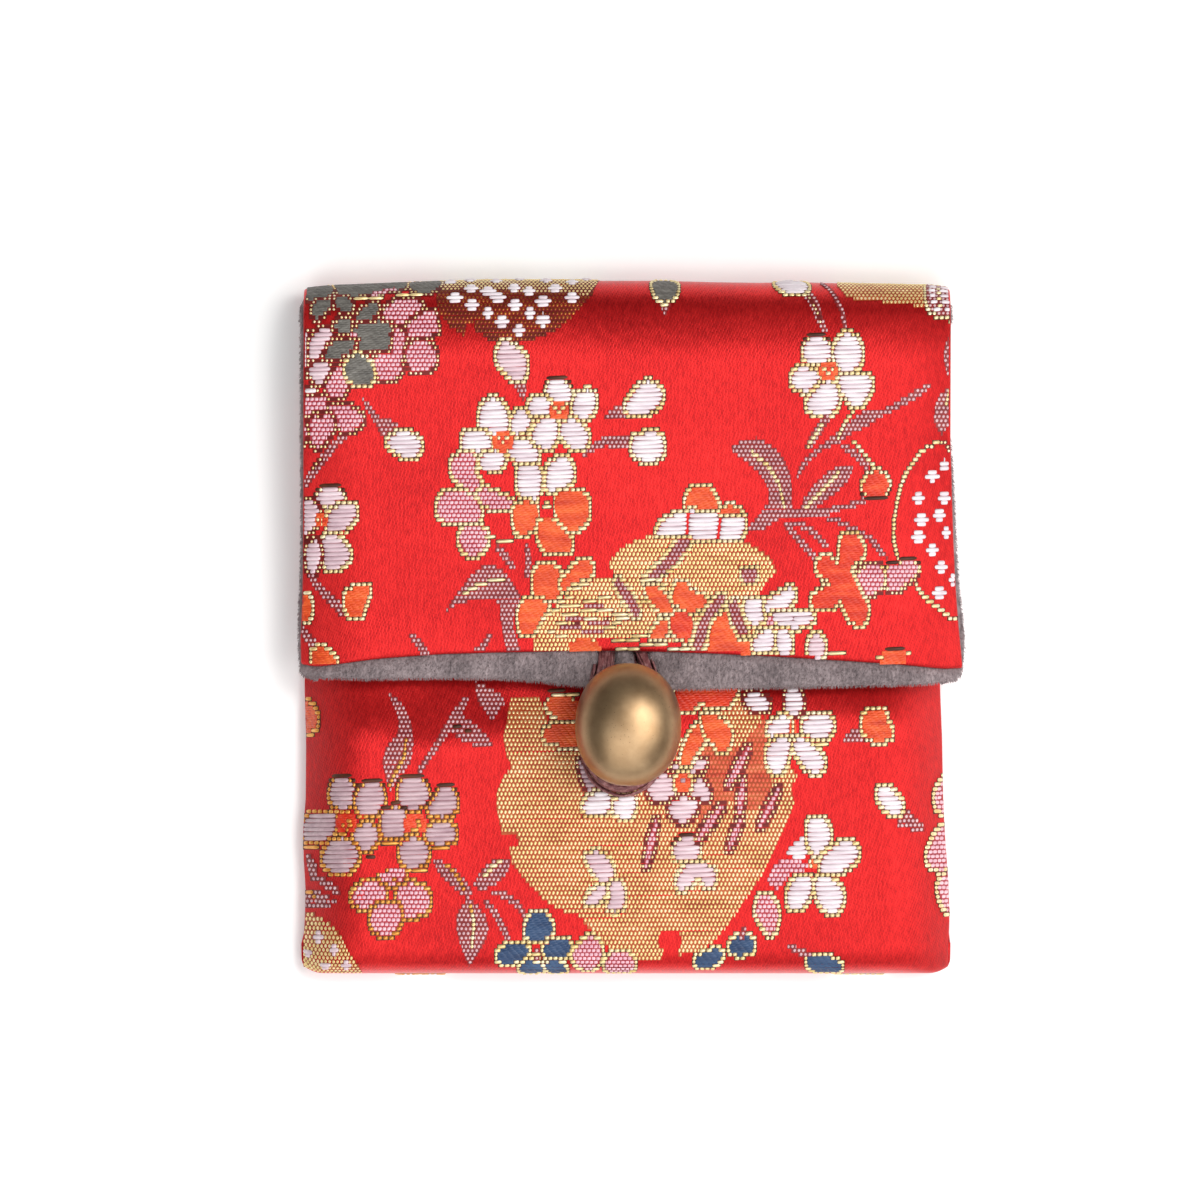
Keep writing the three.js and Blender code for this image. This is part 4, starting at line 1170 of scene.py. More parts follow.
# -- rolling lines at the mound's left
for a, b, v in [(545, 553, 615), (552, 560, 609), (558, 566, 603), (566, 575, 596), (572, 582, 590), (578, 590, 584), (560, 581, 607), (598, 612, 598), (583, 597, 602),
                (562, 579, 616), (581, 600, 612), (600, 614, 608), (612, 628, 613), (556, 568, 622), (548, 556, 631), (556, 568, 636), (612, 622, 621), (604, 616, 626),
                (620, 640, 607), (616, 630, 618), (584, 598, 620), (640, 655, 603)]:
    W.dash(a, b, v)
for a, b, v in [(585, 604, 606), (566, 584, 620), (560, 582, 628), (588, 610, 624), (582, 604, 631)]:
    W.dash(a, b, v, MAUVE)
for a, b, v in [(572, 580, 624), (604, 612, 618)]:
    W.dash(a, b, v, OUTD)
W.stroke([(618, 583), (627, 596), (636, 611)], [3.6, 4.4, 4.0], MAUVE, "gold")
W.poly([(568, 644), (582, 638), (598, 642), (606, 652), (572, 655)], ORANGE)
W.poly([(594, 636), (646, 638), (700, 646), (706, 654), (604, 654)], NONE)
for a, b, v in [(612, 640, 641), (632, 668, 638), (640, 668, 646), (668, 708, 647), (616, 640, 649)]:
    W.dash(a, b, v)
# -- orange leaves on the mound
W.blob([(646, 585), (656, 588), (664, 594), (669, 603), (673, 612), (664, 614), (656, 606), (648, 597)], ORANGE)
W.blob([(674, 591), (677, 583), (684, 581), (690, 590), (700, 596), (709, 600), (700, 608), (690, 611), (680, 606), (673, 600)], ORANGE)
W.blob([(650, 637), (656, 627), (665, 620), (669, 628), (664, 636), (657, 640)], ORANGE)
W.blob([(671, 617), (680, 613), (690, 616), (692, 628), (688, 640), (678, 637), (671, 629)], ORED, "gold", "none")
W.stroke([(721, 598), (711, 612), (703, 628), (698, 645)], [3.6, 5.0, 5.4, 4.6], MAUVE, "gold")
W.blob([(709, 646), (711, 629), (718, 617), (728, 614), (736, 624), (738, 640), (752, 643), (758, 652), (730, 656), (706, 656)], ORANGE)
# -- maple-like white flower
W.poly([(736, 600), (742, 618), (748, 634), (740, 636), (732, 622), (728, 606)], MAUVE, "gold")
W.blob([(746, 601), (756, 598), (764, 606), (764, 618), (754, 624), (746, 616)], WHITE)
W.blob([(768, 600), (780, 593), (790, 588), (795, 595), (790, 604), (783, 610), (770, 612), (764, 608)], WHITE)
W.blob([(772, 615), (790, 612), (806, 612), (814, 618), (808, 624), (794, 628), (780, 625)], WHITE)
W.blob([(756, 637), (768, 630), (776, 638), (771, 649), (760, 652), (752, 647)], WHITE)
W.blob([(777, 632), (786, 630), (791, 640), (790, 652), (782, 657), (777, 646)], WHITE)
W.ell(770, 622, 4.0, 4.0, PINK)
W.blob([(809, 642), (814, 634), (820, 636), (825, 646), (822, 656), (812, 660), (808, 653)], PALE)
W.dash(828, 846, 655)
W.poly([(882, 652), (906, 652), (906, 664), (878, 664)], ORANGE, None)
W.dash(885, 905, 650, SHADE_BAR)
W.dash(906, 911, 654, OUTL)
W.dash(876, 884, 656, OUTL)
# -- over the fold and down the back the trees carry on
W.poly([(640, 150), (650, 190), (690, 214), (740, 206), (770, 180), (780, 150)], GOLDG)
for cx, cy, lb in [(548, 206, WHITE), (880, 190, PINK), (372, 196, ORANGE), (470, 176, WHITE)]:
    for k in range(5):
        a = 2 * math.pi * k / 5 + 0.3 * lb
        W.ell(cx + 19 * math.cos(a), cy + 18 * math.sin(a), 14, 11.5, lb, "gold", a)
    W.heart(cx, cy, 8)
W.poly([(590, 250), (600, 226), (614, 206), (618, 218), (608, 240)], MAUVE)

# ---------------------------------------------------------------- the body's figures
B = Weave(P_body, 560.0, 1052.0, body_valid, PITCH_B)
B.poly([(512, 640), (510, 700), (506, 725), (503, 738), (506, 752), (512, 765), (504, 776), (498, 788), (496, 800), (498, 815), (502, 832), (510, 848), (512, 862),
        (518, 870), (526, 880), (536, 890), (544, 900), (560, 910), (580, 916), (592, 930), (604, 944), (620, 954), (640, 961), (664, 961), (682, 956), (700, 954),
        (716, 940), (730, 924), (742, 906), (752, 890), (762, 876), (772, 856), (780, 838), (788, 820), (795, 802), (791, 788), (798, 776), (788, 764), (776, 752),
        (770, 730), (760, 716), (744, 708), (738, 690), (735, 640)], GOLDG)
B.poly([(484, 640), (484, 700), (544, 698), (560, 692), (560, 640)], NONE)
B.ell(507, 840, 12, 8, NONE)
B.ell(670, 941, 12, 11, NONE)
B.poly([(664, 948), (678, 948), (680, 966), (660, 966)], NONE)
B.poly([(690, 740), (740, 748), (766, 716), (774, 740), (770, 800), (752, 812), (728, 800), (720, 822), (704, 830), (690, 800)], BRICK)
B.poly([(540, 640), (540, 700), (548, 722), (548, 742), (578, 752), (700, 735), (740, 690), (738, 640)], NONE)
# -- bud and leaves at the left
B.blob([(299, 704), (308, 704), (314, 711), (317, 722), (312, 730), (300, 731)], ORANGE)
B.poly([(387, 693), (396, 697), (404, 708), (411, 724), (414, 742), (411, 762), (400, 777), (390, 792), (386, 777), (382, 762), (386, 748), (396, 736), (399, 722),
        (394, 706)], MAUVE)
B.rib([(406, 738), (404, 757), (396, 771), (389, 785)])
B.stroke([(466, 698), (459, 710), (448, 727), (436, 747), (420, 770)], [2.8, 4.4, 4.4, 3.2, 2.8])
B.poly([(450, 715), (461, 715), (475, 724), (487, 736), (494, 746), (478, 746), (464, 742), (452, 733)], MAUVE)
B.dash(453, 462, 725, SHADE_BAR)
B.dash(465, 472, 729, SHADE_BAR)
B.poly([(474, 680), (500, 694), (505, 703), (498, 712), (492, 721), (486, 712), (478, 702)], MAUVE)
# -- two flowers of white silk floats in the lilac-grey copy of the white silk: painted shade
B.blob([(330, 791), (334, 781), (344, 778), (352, 784), (355, 796), (350, 806), (340, 808), (332, 802)], WHITE_SHADED, "gold", "shade_bar")
B.blob([(362, 787), (370, 782), (380, 785), (384, 795), (382, 806), (374, 815), (362, 814), (356, 804), (357, 795)], WHITE_SHADED, "gold", "shade_bar")
B.blob([(304, 823), (310, 815), (322, 812), (334, 815), (336, 826), (330, 838), (318, 843), (306, 842), (302, 832)], WHITE_SHADED)
B.blob([(354, 832), (364, 825), (374, 827), (378, 836), (372, 847), (362, 850), (354, 842)], WHITE_SHADED)
B.blob([(324, 853), (330, 843), (344, 839), (354, 846), (358, 858), (352, 868), (340, 875), (330, 870), (323, 862)], WHITE_SHADED)
B.blob([(398, 791), (402, 781), (412, 778), (422, 781), (428, 792), (427, 802), (416, 808), (402, 806)], WHITE_SHADED, "gold", "shade_bar")
B.blob([(436, 797), (440, 789), (450, 788), (456, 797), (456, 808), (446, 816), (434, 815), (428, 808)], WHITE_SHADED, "gold", "shade_bar")
B.blob([(383, 813), (390, 808), (402, 809), (406, 821), (404, 834), (394, 838), (384, 836), (381, 824)], WHITE_SHADED, "gold", "shade_bar")
B.blob([(426, 831), (438, 823), (450, 825), (456, 833), (452, 841), (438, 844), (428, 840)], WHITE_SHADED)
B.blob([(400, 847), (410, 839), (422, 841), (428, 850), (426, 861), (414, 867), (403, 863)], WHITE_SHADED)
B.heart(346, 823, 11, ((-3, 4), (1, 5), (4, 2), (3, -3)), ORED)
B.heart(415, 824, 12, ((-3, 4), (1, 5), (4, 1), (3, -3)), ORED)
for a, b, v in [(302, 319, 849), (432, 450, 848), (382, 399, 843), (412, 428, 872)]:
    B.dash(a, b, v)
B.dash(366, 376, 855, SHADE_BAR)
# -- pink flower
B.blob([(372, 884), (380, 875), (392, 869), (402, 867), (405, 877), (396, 884), (384, 888)], PINK, "gold", "none")
B.blob([(352, 896), (358, 887), (370, 882), (382, 886), (386, 896), (378, 904), (362, 907), (354, 903)], PINK)
B.blob([(398, 890), (408, 884), (420, 886), (429, 895), (429, 906), (422, 913), (408, 917), (398, 908)], PINK)
B.blob([(372, 912), (380, 905), (392, 903), (400, 909), (400, 922), (392, 933), (382, 935), (372, 926)], PINK)
for p in [(386, 884), (394, 879), (398, 886), (390, 890)]:
    B.ell(p[0], p[1], 2.4, 2.3, OUTL)
# -- mauve leaves
B.poly([(433, 859), (444, 862), (456, 870), (465, 880), (473, 893), (468, 899), (456, 890), (444, 879), (436, 869)], MAUVE)
B.rib([(446, 864), (456, 875), (464, 888)])
B.poly([(473, 886), (480, 872), (490, 862), (502, 857), (511, 862), (507, 874), (496, 885), (482, 891)], MAUVE)
B.rib([(484, 877), (492, 867), (501, 861)])
B.poly([(462, 906), (470, 898), (478, 906), (486, 916), (489, 930), (484, 944), (478, 955), (469, 971), (465, 958), (460, 944), (456, 928), (457, 914)], MAUVE)
B.rib([(470, 905), (474, 921), (472, 945)])
B.stroke([(486, 902), (495, 913), (504, 930), (512, 948)], [2.8, 3.2, 3.2, 2.8])
B.stroke([(494, 892), (506, 896), (517, 904), (524, 914)], [2.8, 3.2, 3.4, 2.8])
B.stroke([(308, 858), (312, 868), (313, 880)], [3.0, 4.6, 3.2])
B.stroke([(318, 878), (328, 886), (338, 892)], [3.0, 4.4, 3.0])
B.poly([(300, 888), (312, 890), (324, 894), (337, 902), (328, 908), (314, 909), (300, 908)], MAUVE)
B.rib([(304, 893), (314, 896)])
# -- gold patch with white crosses
B.poly([(296, 911), (312, 914), (330, 924), (342, 938), (347, 950), (352, 960), (359, 970), (362, 984), (296, 984)], GOLDG)
for p in [(318, 938, 7), (307, 957, 6), (334, 951, 6), (325, 971, 7), (346, 969, 7)]:
    B.cross(p[0], p[1], p[2] * 0.8, 5.4, PALE)
# -- blue and pink flowers at the fold
B.blob([(526, 927), (530, 917), (540, 912), (549, 920), (552, 930), (545, 938), (534, 940), (526, 934)], BLUE)
B.blob([(544, 948), (552, 941), (562, 939), (570, 945), (568, 954), (558, 961), (546, 957)], BLUE)
B.blob([(498, 956), (506, 947), (520, 945), (528, 950), (524, 960), (510, 966), (500, 964)], BLUE)
B.blob([(522, 968), (532, 963), (540, 968), (542, 980), (528, 984), (520, 978)], BLUE)
B.blob([(546, 968), (556, 964), (564, 970), (566, 980), (552, 983)], BLUE)
B.ell(537, 956, 5, 5, MAUVE)
B.dash(532, 541, 955)
B.dash(533, 541, 963)
B.blob([(576, 966), (573, 956), (580, 945), (590, 937), (598, 942), (602, 954), (598, 967), (588, 976)], PINK)
B.blob([(605, 970), (610, 957), (620, 953), (630, 957), (635, 967), (629, 979), (612, 981)], PINK)
# -- orange flower by the button's left
B.blob([(546, 703), (560, 697), (576, 702), (584, 716), (570, 724), (556, 716)], ORANGE, "gold", "none")
B.blob([(543, 734), (550, 727), (566, 724), (584, 732), (580, 748), (562, 745), (548, 741)], ORANGE)
B.dash(548, 566, 690, SHADE_BAR)
B.dash(552, 580, 695, GDASH)
# -- figures below the button
B.blob([(579, 762), (586, 768), (592, 780), (600, 792), (590, 792), (583, 780)], WHITE_SHADED, "dark")
B.blob([(582, 808), (588, 798), (598, 793), (610, 795), (611, 808), (600, 814), (588, 813)], WHITE)
B.blob([(614, 803), (622, 797), (634, 798), (635, 808), (630, 819), (622, 818), (615, 812)], WHITE)
B.blob([(586, 857), (596, 852), (606, 857), (612, 866), (614, 875), (604, 883), (596, 876), (590, 866)], PALE)
B.blob([(605, 885), (605, 894), (597, 903), (585, 906), (588, 897), (597, 888)], PALE)
B.blob([(610, 886), (618, 882), (624, 889), (624, 904), (616, 911), (608, 907), (611, 896)], PALE)
B.blob([(674, 848), (682, 839), (692, 838), (699, 846), (698, 856), (688, 861), (676, 857)], PALE, "gold", "shade_bar")
B.blob([(690, 863), (700, 863), (712, 869), (716, 879), (710, 887), (704, 883), (698, 875), (692, 884), (682, 889), (676, 885), (681, 872)], PALE)
B.blob([(672, 768), (682, 762), (700, 759), (707, 764), (698, 771), (680, 772)], PALE, "dark")
B.blob([(648, 788), (656, 777), (668, 776), (676, 784), (674, 796), (662, 801), (652, 798)], PALE, "dark")
B.blob([(692, 788), (699, 778), (706, 786), (711, 797), (700, 802), (691, 798)], PALE, "dark")
B.ell(683, 783, 8, 8, ORANGE, "gold")
B.ell(683, 781, 3, 3, WHITE_SHADED)
B.blob([(669, 807), (678, 799), (690, 799), (698, 805), (692, 816), (684, 822), (674, 818)], PALE, "dark")
# -- orange leaves right of the button
B.poly([(676, 690), (738, 690), (730, 704), (716, 708), (700, 702), (690, 712), (676, 710)], ORED, "gold", "none")
B.blob([(682, 764), (684, 748), (692, 732), (703, 722), (707, 732), (702, 744), (694, 756), (688, 766)], ORANGE)
B.blob([(702, 717), (714, 716), (724, 722), (731, 733), (729, 745), (721, 752), (714, 743), (706, 734)], ORANGE)
# -- outlined small leaves
for (a, b, w) in [((748, 749), (728, 786), 5.2), ((743, 782), (739, 818), 4.6), ((741, 820), (728, 850), 4.2), ((722, 806), (699, 838), 5.0), ((656, 823), (646, 864), 5.0),
                  ((778, 791), (760, 826), 4.8)]:
    c = ((a[0] + b[0]) / 2, (a[1] + b[1]) / 2)
    B.stroke([a, c, b], [w * 0.3, w * 0.72, w * 0.3], PINK, "dark")
# -- white flower at the upper right
B.blob([(745, 698), (754, 693), (766, 699), (769, 708), (758, 711), (748, 706)], WHITE, "dark")
B.blob([(785, 700), (788, 690), (796, 688), (802, 696), (803, 708), (796, 714), (787, 711)], WHITE, "dark")
B.blob([(804, 722), (812, 715), (822, 714), (832, 720), (832, 731), (824, 738), (812, 736), (803, 730)], WHITE)
B.blob([(768, 727), (776, 719), (786, 717), (791, 725), (789, 734), (776, 736), (768, 734)], WHITE)
B.blob([(794, 743), (802, 739), (812, 746), (822, 757), (824, 766), (816, 773), (806, 767), (798, 756)], WHITE)
B.blob([(771, 744), (783, 738), (790, 744), (788, 757), (784, 768), (776, 775), (768, 764), (767, 753)], WHITE)
B.ell(793, 727, 4, 6, ORANGE)
B.rib([(793, 722), (793, 736)])
B.dash(815, 829, 745)
# -- buds at the right
B.poly([(842, 739), (852, 730), (862, 725), (868, 736), (860, 743), (850, 743)], MAUVE)
B.blob([(864, 717), (872, 711), (884, 712), (887, 722), (892, 732), (888, 739), (874, 740), (865, 733), (862, 725)], ORANGE)
B.poly([(899, 813), (908, 809), (917, 820), (927, 829), (918, 833), (908, 829), (897, 827)], MAUVE)
B.blob([(878, 791), (884, 785), (892, 791), (900, 801), (902, 809), (896, 816), (888, 811), (880, 801)], WHITE)
B.blob([(953, 778), (942, 784), (936, 796), (938, 808), (948, 814), (954, 808)], PINK)
B.blob([(936, 837), (944, 829), (953, 832), (953, 870), (942, 871), (932, 867), (928, 856)], PINK)
B.blob([(953, 874), (944, 878), (939, 888), (942, 900), (950, 914), (955, 900)], PINK)
# -- white flower at the lower right
B.blob([(786, 852), (794, 843), (804, 837), (810, 845), (807, 856), (796, 858)], WHITE, None)
B.blob([(808, 825), (814, 818), (822, 819), (829, 828), (830, 840), (824, 850), (814, 853), (808, 842)], WHITE)
B.blob([(768, 881), (772, 869), (780, 861), (794, 860), (807, 864), (806, 870), (791, 874), (784, 884), (776, 889)], PINK, None)
B.blob([(824, 857), (834, 847), (846, 841), (856, 847), (858, 856), (850, 866), (838, 873), (826, 876), (820, 868)], WHITE)
B.blob([(788, 893), (794, 881), (804, 876), (811, 880), (811, 892), (804, 904), (796, 911), (788, 904)], WHITE)
B.blob([(816, 881), (826, 877), (836, 883), (843, 894), (842, 904), (834, 913), (824, 908), (817, 895)], WHITE)
B.ell(813, 864, 5, 5, ORANGE)
for p in [(810, 860), (816, 862), (811, 868)]:
    B.ell(p[0], p[1], 2.4, 2.2, OUTL)
B.blob([(758, 901), (764, 893), (772, 900), (778, 912), (776, 927), (770, 934), (762, 924), (756, 911)], PINK)
# -- blue buds
B.blob([(730, 945), (738, 937), (748, 937), (754, 945), (750, 954), (738, 956), (731, 952)], BLUE)
B.stroke([(744, 930), (742, 936)], 3.0, MAUVE)
B.blob([(696, 962), (704, 955), (716, 951), (722, 955), (718, 965), (708, 972), (698, 970)], BLUE)
B.blob([(808, 960), (818, 957), (832, 961), (841, 969), (839, 979), (820, 981), (809, 970)], BLUE)
B.stroke([(790, 947), (799, 952), (808, 956)], [2.8, 3.8, 3.4], MAUVE)
# -- under the fold and behind
for cx, cy, lb in [(420, 1035, WHITE), (860, 1034, WHITE)]:
    for k in range(5):
        a = 2 * math.pi * k / 5 + 0.3
        B.ell(cx + 18 * math.cos(a), cy + 17 * math.sin(a), 13, 11, lb, "gold", a)
    B.heart(cx, cy, 8)


# ---------------------------------------------------------------- runs to floats
SLANT = 0.035                   # the weft rises a little to the right


class Floats:
    """collects floats of one colour and turns them into one mesh"""

    def __init__(self):
        self.items = {}

    def add(self, P, x0, x1, v, w, h, lift=0.0, shape="long"):
        self.items.setdefault((P, shape), []).append((x0, x1, v, w, h, lift))

    def mesh(self, name, mat, slot="red_brocade", jitter=0.12):
        vs, fs, base = [], [], 0
        for (P, shape), it in self.items.items():
            a = np.array(it, float)
            n = len(a)
            if shape == "dot":
                s = np.array([0.0, 0.28, 0.72, 1.0])
                tw = np.array([0.25, 1.0, 1.0, 0.25])
                th = np.array([0.0, 1.0, 1.0, 0.0])
                c = np.array([-1.0, 0.0, 1.0])
                ch = np.array([0.0, 1.0, 0.0])
            elif shape == "flat":
                s = np.array([0.0, 0.5, 1.0])
                tw = np.ones(3)
                th = np.array([0.6, 1.0, 0.6])
                c = np.array([-1.0, 0.0, 1.0])
                ch = np.array([0.85, 1.0, 0.85])
            elif shape == "dash":
                s = np.array([0.0, 0.16, 0.5, 0.84, 1.0])
                tw = np.array([0.45, 1.0, 1.0, 1.0, 0.45])
                th = np.array([0.0, 0.9, 1.0, 0.9, 0.0])
                c = np.array([-1.0, -0.45, 0.45, 1.0])
                ch = np.array([0.0, 0.95, 0.95, 0.0])
            else:
                s = np.array([0.0, 0.07, 0.22, 0.5, 0.78, 0.93, 1.0])
                tw = np.array([0.40, 0.85, 1.0, 1.04, 1.0, 0.85, 0.40])
                th = np.array([0.0, 0.62, 0.92, 1.0, 0.92, 0.62, 0.0])
                c = np.array([-1.0, -0.6, 0.0, 0.6, 1.0])
                ch = np.array([0.0, 0.78, 1.0, 0.78, 0.0])
            x0, x1, v, w, h, lift = a.T
            j = rng.normal(0, jitter, n)
            xx = x0[:, None] + (x1 - x0)[:, None] * s[None, :]
            vv = np.repeat(v[:, None], len(s), 1) + j[:, None] + (rng.normal(0, jitter, n)[:, None]) * (s[None, :] - 0.5) * 2
            vv = vv - SLANT * (x1 - x0)[:, None] * (s[None, :] - 0.5)
            p, tx, tv, nn = frame_at(P, xx, vv)
            hh = h * (1 + rng.normal(0, 0.10, n))
            pts = (p[:, :, None, :]
                   + tv[:, :, None, :] * (c[None, None, :, None] * (w[:, None] * tw[None, :] * PX)[:, :, None, None])
                   + nn[:, :, None, :] * ((0.022 + lift[:, None, None] + hh[:, None, None] * th[None, :, None] * ch[None, None, :])[..., None]))
            ns, ncs = len(s), len(c)
            vs.append(pts.reshape(-1, 3))
            q = grid_faces(ns, ncs)[:, ::-1]
            f = (np.arange(n)[:, None, None] * (ns * ncs) + q[None]).reshape(-1, 4) + base
            fs.append(f)
            base += n * ns * ncs
        if not vs:
            return None
        ob = make_mesh(name, np.vstack(vs), np.vstack(fs), mat)
        return ob


F = {k: Floats() for k in ["white", "white_shaded", "pinkdot", "pink", "mauvedot", "mauve", "green", "orange", "blue", "gold", "golddot", "goldunder",
                           "gold_dots_shaded", "goldunder_shaded", "shadow_strip", "pale", "under", "ored", "bindred", "amber", "brick"]}


def runs(row):
    """(start, end, label) of equal labels, end exclusive"""
    cut = np.flatnonzero(np.diff(row)) + 1
    st = np.concatenate([[0], cut])
    en = np.concatenate([cut, [len(row)]])
    return [(int(a), int(b), int(row[a])) for a, b in zip(st, en) if row[a] != NONE]


def split(a, b, longest):
    n = max(1, int(math.ceil((b - a) / longest)))
    e = np.linspace(a, b, n + 1)
    return [(e[i], e[i + 1]) for i in range(n)]


def weave_out(Wv):
    P = Wv.P
    lab = Wv.lab.copy()
    ok = Wv.valid(Wv.x, Wv.v)
    lab[~ok] = NONE
    pitch = Wv.pitch
    half = pitch / 2
    for r, v in enumerate(Wv.rows):
        stag = (r % 2)
        for a, b, L in runs(lab[r]):
            x0, x1 = XS[a] - 0.5, XS[b - 1] + 0.5
            n = x1 - x0
            # floats in the lilac-grey copy of the white silk are painted shade
            if L in (WHITE, WHITE_SHADED, PALE):
                f = F[{WHITE: "white", WHITE_SHADED: "white_shaded", PALE: "pale"}[L]]
                for c, d in split(x0, x1, 40):
                    f.add(P, c, d, v, half * 0.93, 0.22, 0.04, "long" if d - c > 5 else "dash")
                # a dark flat sheet under the floats shows in the gaps between rows: painted shade
                F["under"].add(P, x0 + 0.3, x1 - 0.3, v, half * 1.02, 0.03, 0.02, "flat")
            elif L == PINK:
                F["pink"].add(P, x0, x1, v, half, 0.05, 0.01, "flat")
                k = math.floor(x0 / 4.5) * 4.5 + (2.2 if stag else 0.0)
                while k < x1 - 1.2:
                    c, d = max(k, x0), min(k + 3.7, x1)
                    if d - c > 1.2:
                        F["pinkdot"].add(P, c, d, v, half * 0.74, 0.15, 0.04, "dash")
                    k += 4.5
            elif L == MAUVE:
                F["mauve"].add(P, x0, x1, v, half, 0.05, 0.01, "flat")
                k = math.floor(x0 / 4.3) * 4.3 + (2.1 if stag else 0.0)
                while k < x1 - 0.8:
                    c, d = max(k, x0), min(k + 2.9, x1)
                    if d - c > 1.0:
                        F["mauvedot"].add(P, c, d, v, half * 0.66, 0.13, 0.04, "dot")
                    k += 4.3
            elif L in (GREEN, ORANGE, ORED, BLUE):
                f = F[{GREEN: "green", ORANGE: "orange", ORED: "ored", BLUE: "blue"}[L]]
                f.add(P, x0, x1, v, half * 1.06, 0.03, 0.03, "flat")
                for q in (-0.5, 0.5):
                    o = (3.0 if stag else 0.0) + (2.0 if q > 0 else 0.0)
                    k = math.floor(x0 / 7.0) * 7.0 + o - 7.0
                    while k < x1:
                        c, d = max(k, x0), min(k + 6.7, x1)
                        if d - c > 1.2:
                            f.add(P, c, d, v + q * half, half * 0.50, 0.07, 0.04, "dash")
                        k += 7.0
            elif L in (GOLDG, GOLDG_SHADED, GOLDG_LESS_SHADED, GOLDH):
                # the half disc at the top fold takes the darker copies of the gold ground and dots: painted shade
                under = "goldunder" if L in (GOLDG, GOLDH) else "goldunder_shaded"
                dots = "gold_dots_shaded" if L == GOLDG_SHADED else "golddot"
                F[under].add(P, x0, x1, v, half, 0.02, 0.01, "flat")
                k = math.floor(x0 / 4.0) * 4.0 + (1.9 if stag else 0.0)
                while k < x1 - 1.0:
                    c, d = max(k, x0), min(k + (3.1 if L == GOLDH else 2.7), x1)
                    if d - c > 0.9:
                        F[dots].add(P, c, d, v, half * (0.90 if L == GOLDH else 0.80), 0.12, 0.02, "dot")
                    k += 4.0
            elif L == OUTL:
                # a dark strip a little wider than the gold outline dots: painted shadow around them
                F["shadow_strip"].add(P, x0 - 0.5, x1 + 0.5, v, half * 0.96, 0.015, 0.0, "flat")
                n = max(1, int(round((x1 - x0) / 5.6)))
                for q in range(n):
                    c = x0 + (x1 - x0) * q / n
                    d = x0 + (x1 - x0) * (q + 1) / n
                    g = 0.55 if n > 1 else 0.0
                    F["amber" if P is P_body and x0 < 470 else "gold"].add(P, c + g, d - g, v, half * 0.80, 0.17, 0.03, "dot" if d - c < 4.6 else "dash")
            elif L == OUTD:
                F["bindred"].add(P, x0 - 0.5, x1 + 0.5, v, half * 0.92, 0.05, 0.0, "flat")
                n = max(1, int(round((x1 - x0) / 4.6)))
                for q in range(n):
                    m = x0 + (x1 - x0) * (q + 0.5) / n
                    if (r + q) % 4 != 3:
                        F["gold"].add(P, m - 1.15, m + 1.15, v, half * 0.58, 0.11, 0.05, "dot")
            elif L == SHADE_BAR:
                # dark raised bar at a petal's top edge: painted shadow
                F["shadow_strip"].add(P, x0, x1, v, half * 0.9, 0.13, 0.0, "dash")
            elif L == GDASH:
                # dark strip under the gold dashes: painted shadow
                F["shadow_strip"].add(P, x0 - 0.6, x1 + 0.6, v, half, 0.015, 0.0, "flat")
                for c, d in split(x0, x1, 22.0):
                    F["amber" if P is P_body and x0 < 470 else "gold"].add(P, c, d, v, half * 0.74, 0.20, 0.03, "dash")
            elif L == BRICK:
                F["goldunder"].add(P, x0, x1, v, half, 0.02, 0.01, "flat")
                k = math.floor(x0 / 4.0) * 4.0 + (1.9 if stag else 0.0)
                while k < x1 - 1.0:
                    c, d = max(k, x0), min(k + 2.9, x1)
                    if d - c > 0.9:
                        F["brick"].add(P, c, d, v, half * 0.74, 0.10, 0.02, "dot")
                    k += 4.0


weave_out(W)
weave_out(B)
SPEC = [("white_floats", "white", M_WHITE), ("white_floats_painted_shade", "white_shaded", M_WHITE_SHADED), ("pink_dashes", "pinkdot", M_PINKDOT), ("pink_ground", "pink", M_PINK),
        ("mauve_dots", "mauvedot", M_MAUVEDOT), ("mauve_ground", "mauve", M_MAUVE), ("grey_green_floats", "green", M_GREEN), ("orange_floats", "orange", M_ORANGE),
        ("blue_floats", "blue", M_BLUE), ("gold_outline", "gold", M_GOLD), ("gold_dots", "golddot", M_GOLDDOT), ("gold_ground", "goldunder", M_GOLDUNDER),
        ("gold_dots_painted_shade", "gold_dots_shaded", M_GOLD_SHADED), ("gold_ground_painted_shade", "goldunder_shaded", M_GOLDUNDER_SHADED), ("binding_shadow", "shadow_strip", M_SHADOW_STRIP),
        ("pale_floats", "pale", M_PALE), ("float_gaps_painted_shade", "under", M_FLOAT_GAP_SHADE), ("red_orange_floats", "ored", M_ORED), ("binding_red_brown", "bindred", M_BINDRED), ("amber_outline", "amber", M_AMBER),
        ("brick_dots", "brick", M_BRICK)]
TRIS = []
for nm, key, mt in SPEC:
    ob = F[key].mesh(nm, mt)
    if ob:
        TRIS.append((nm, len(ob.data.polygons) * 2))

# =====================================================================
# the button, its shank and the sewing thread
# =====================================================================
BX, BY, BZ = -0.5, -12.6, 17.5
BRX, BRY, BRZ = 6.85, 7.95, 5.8


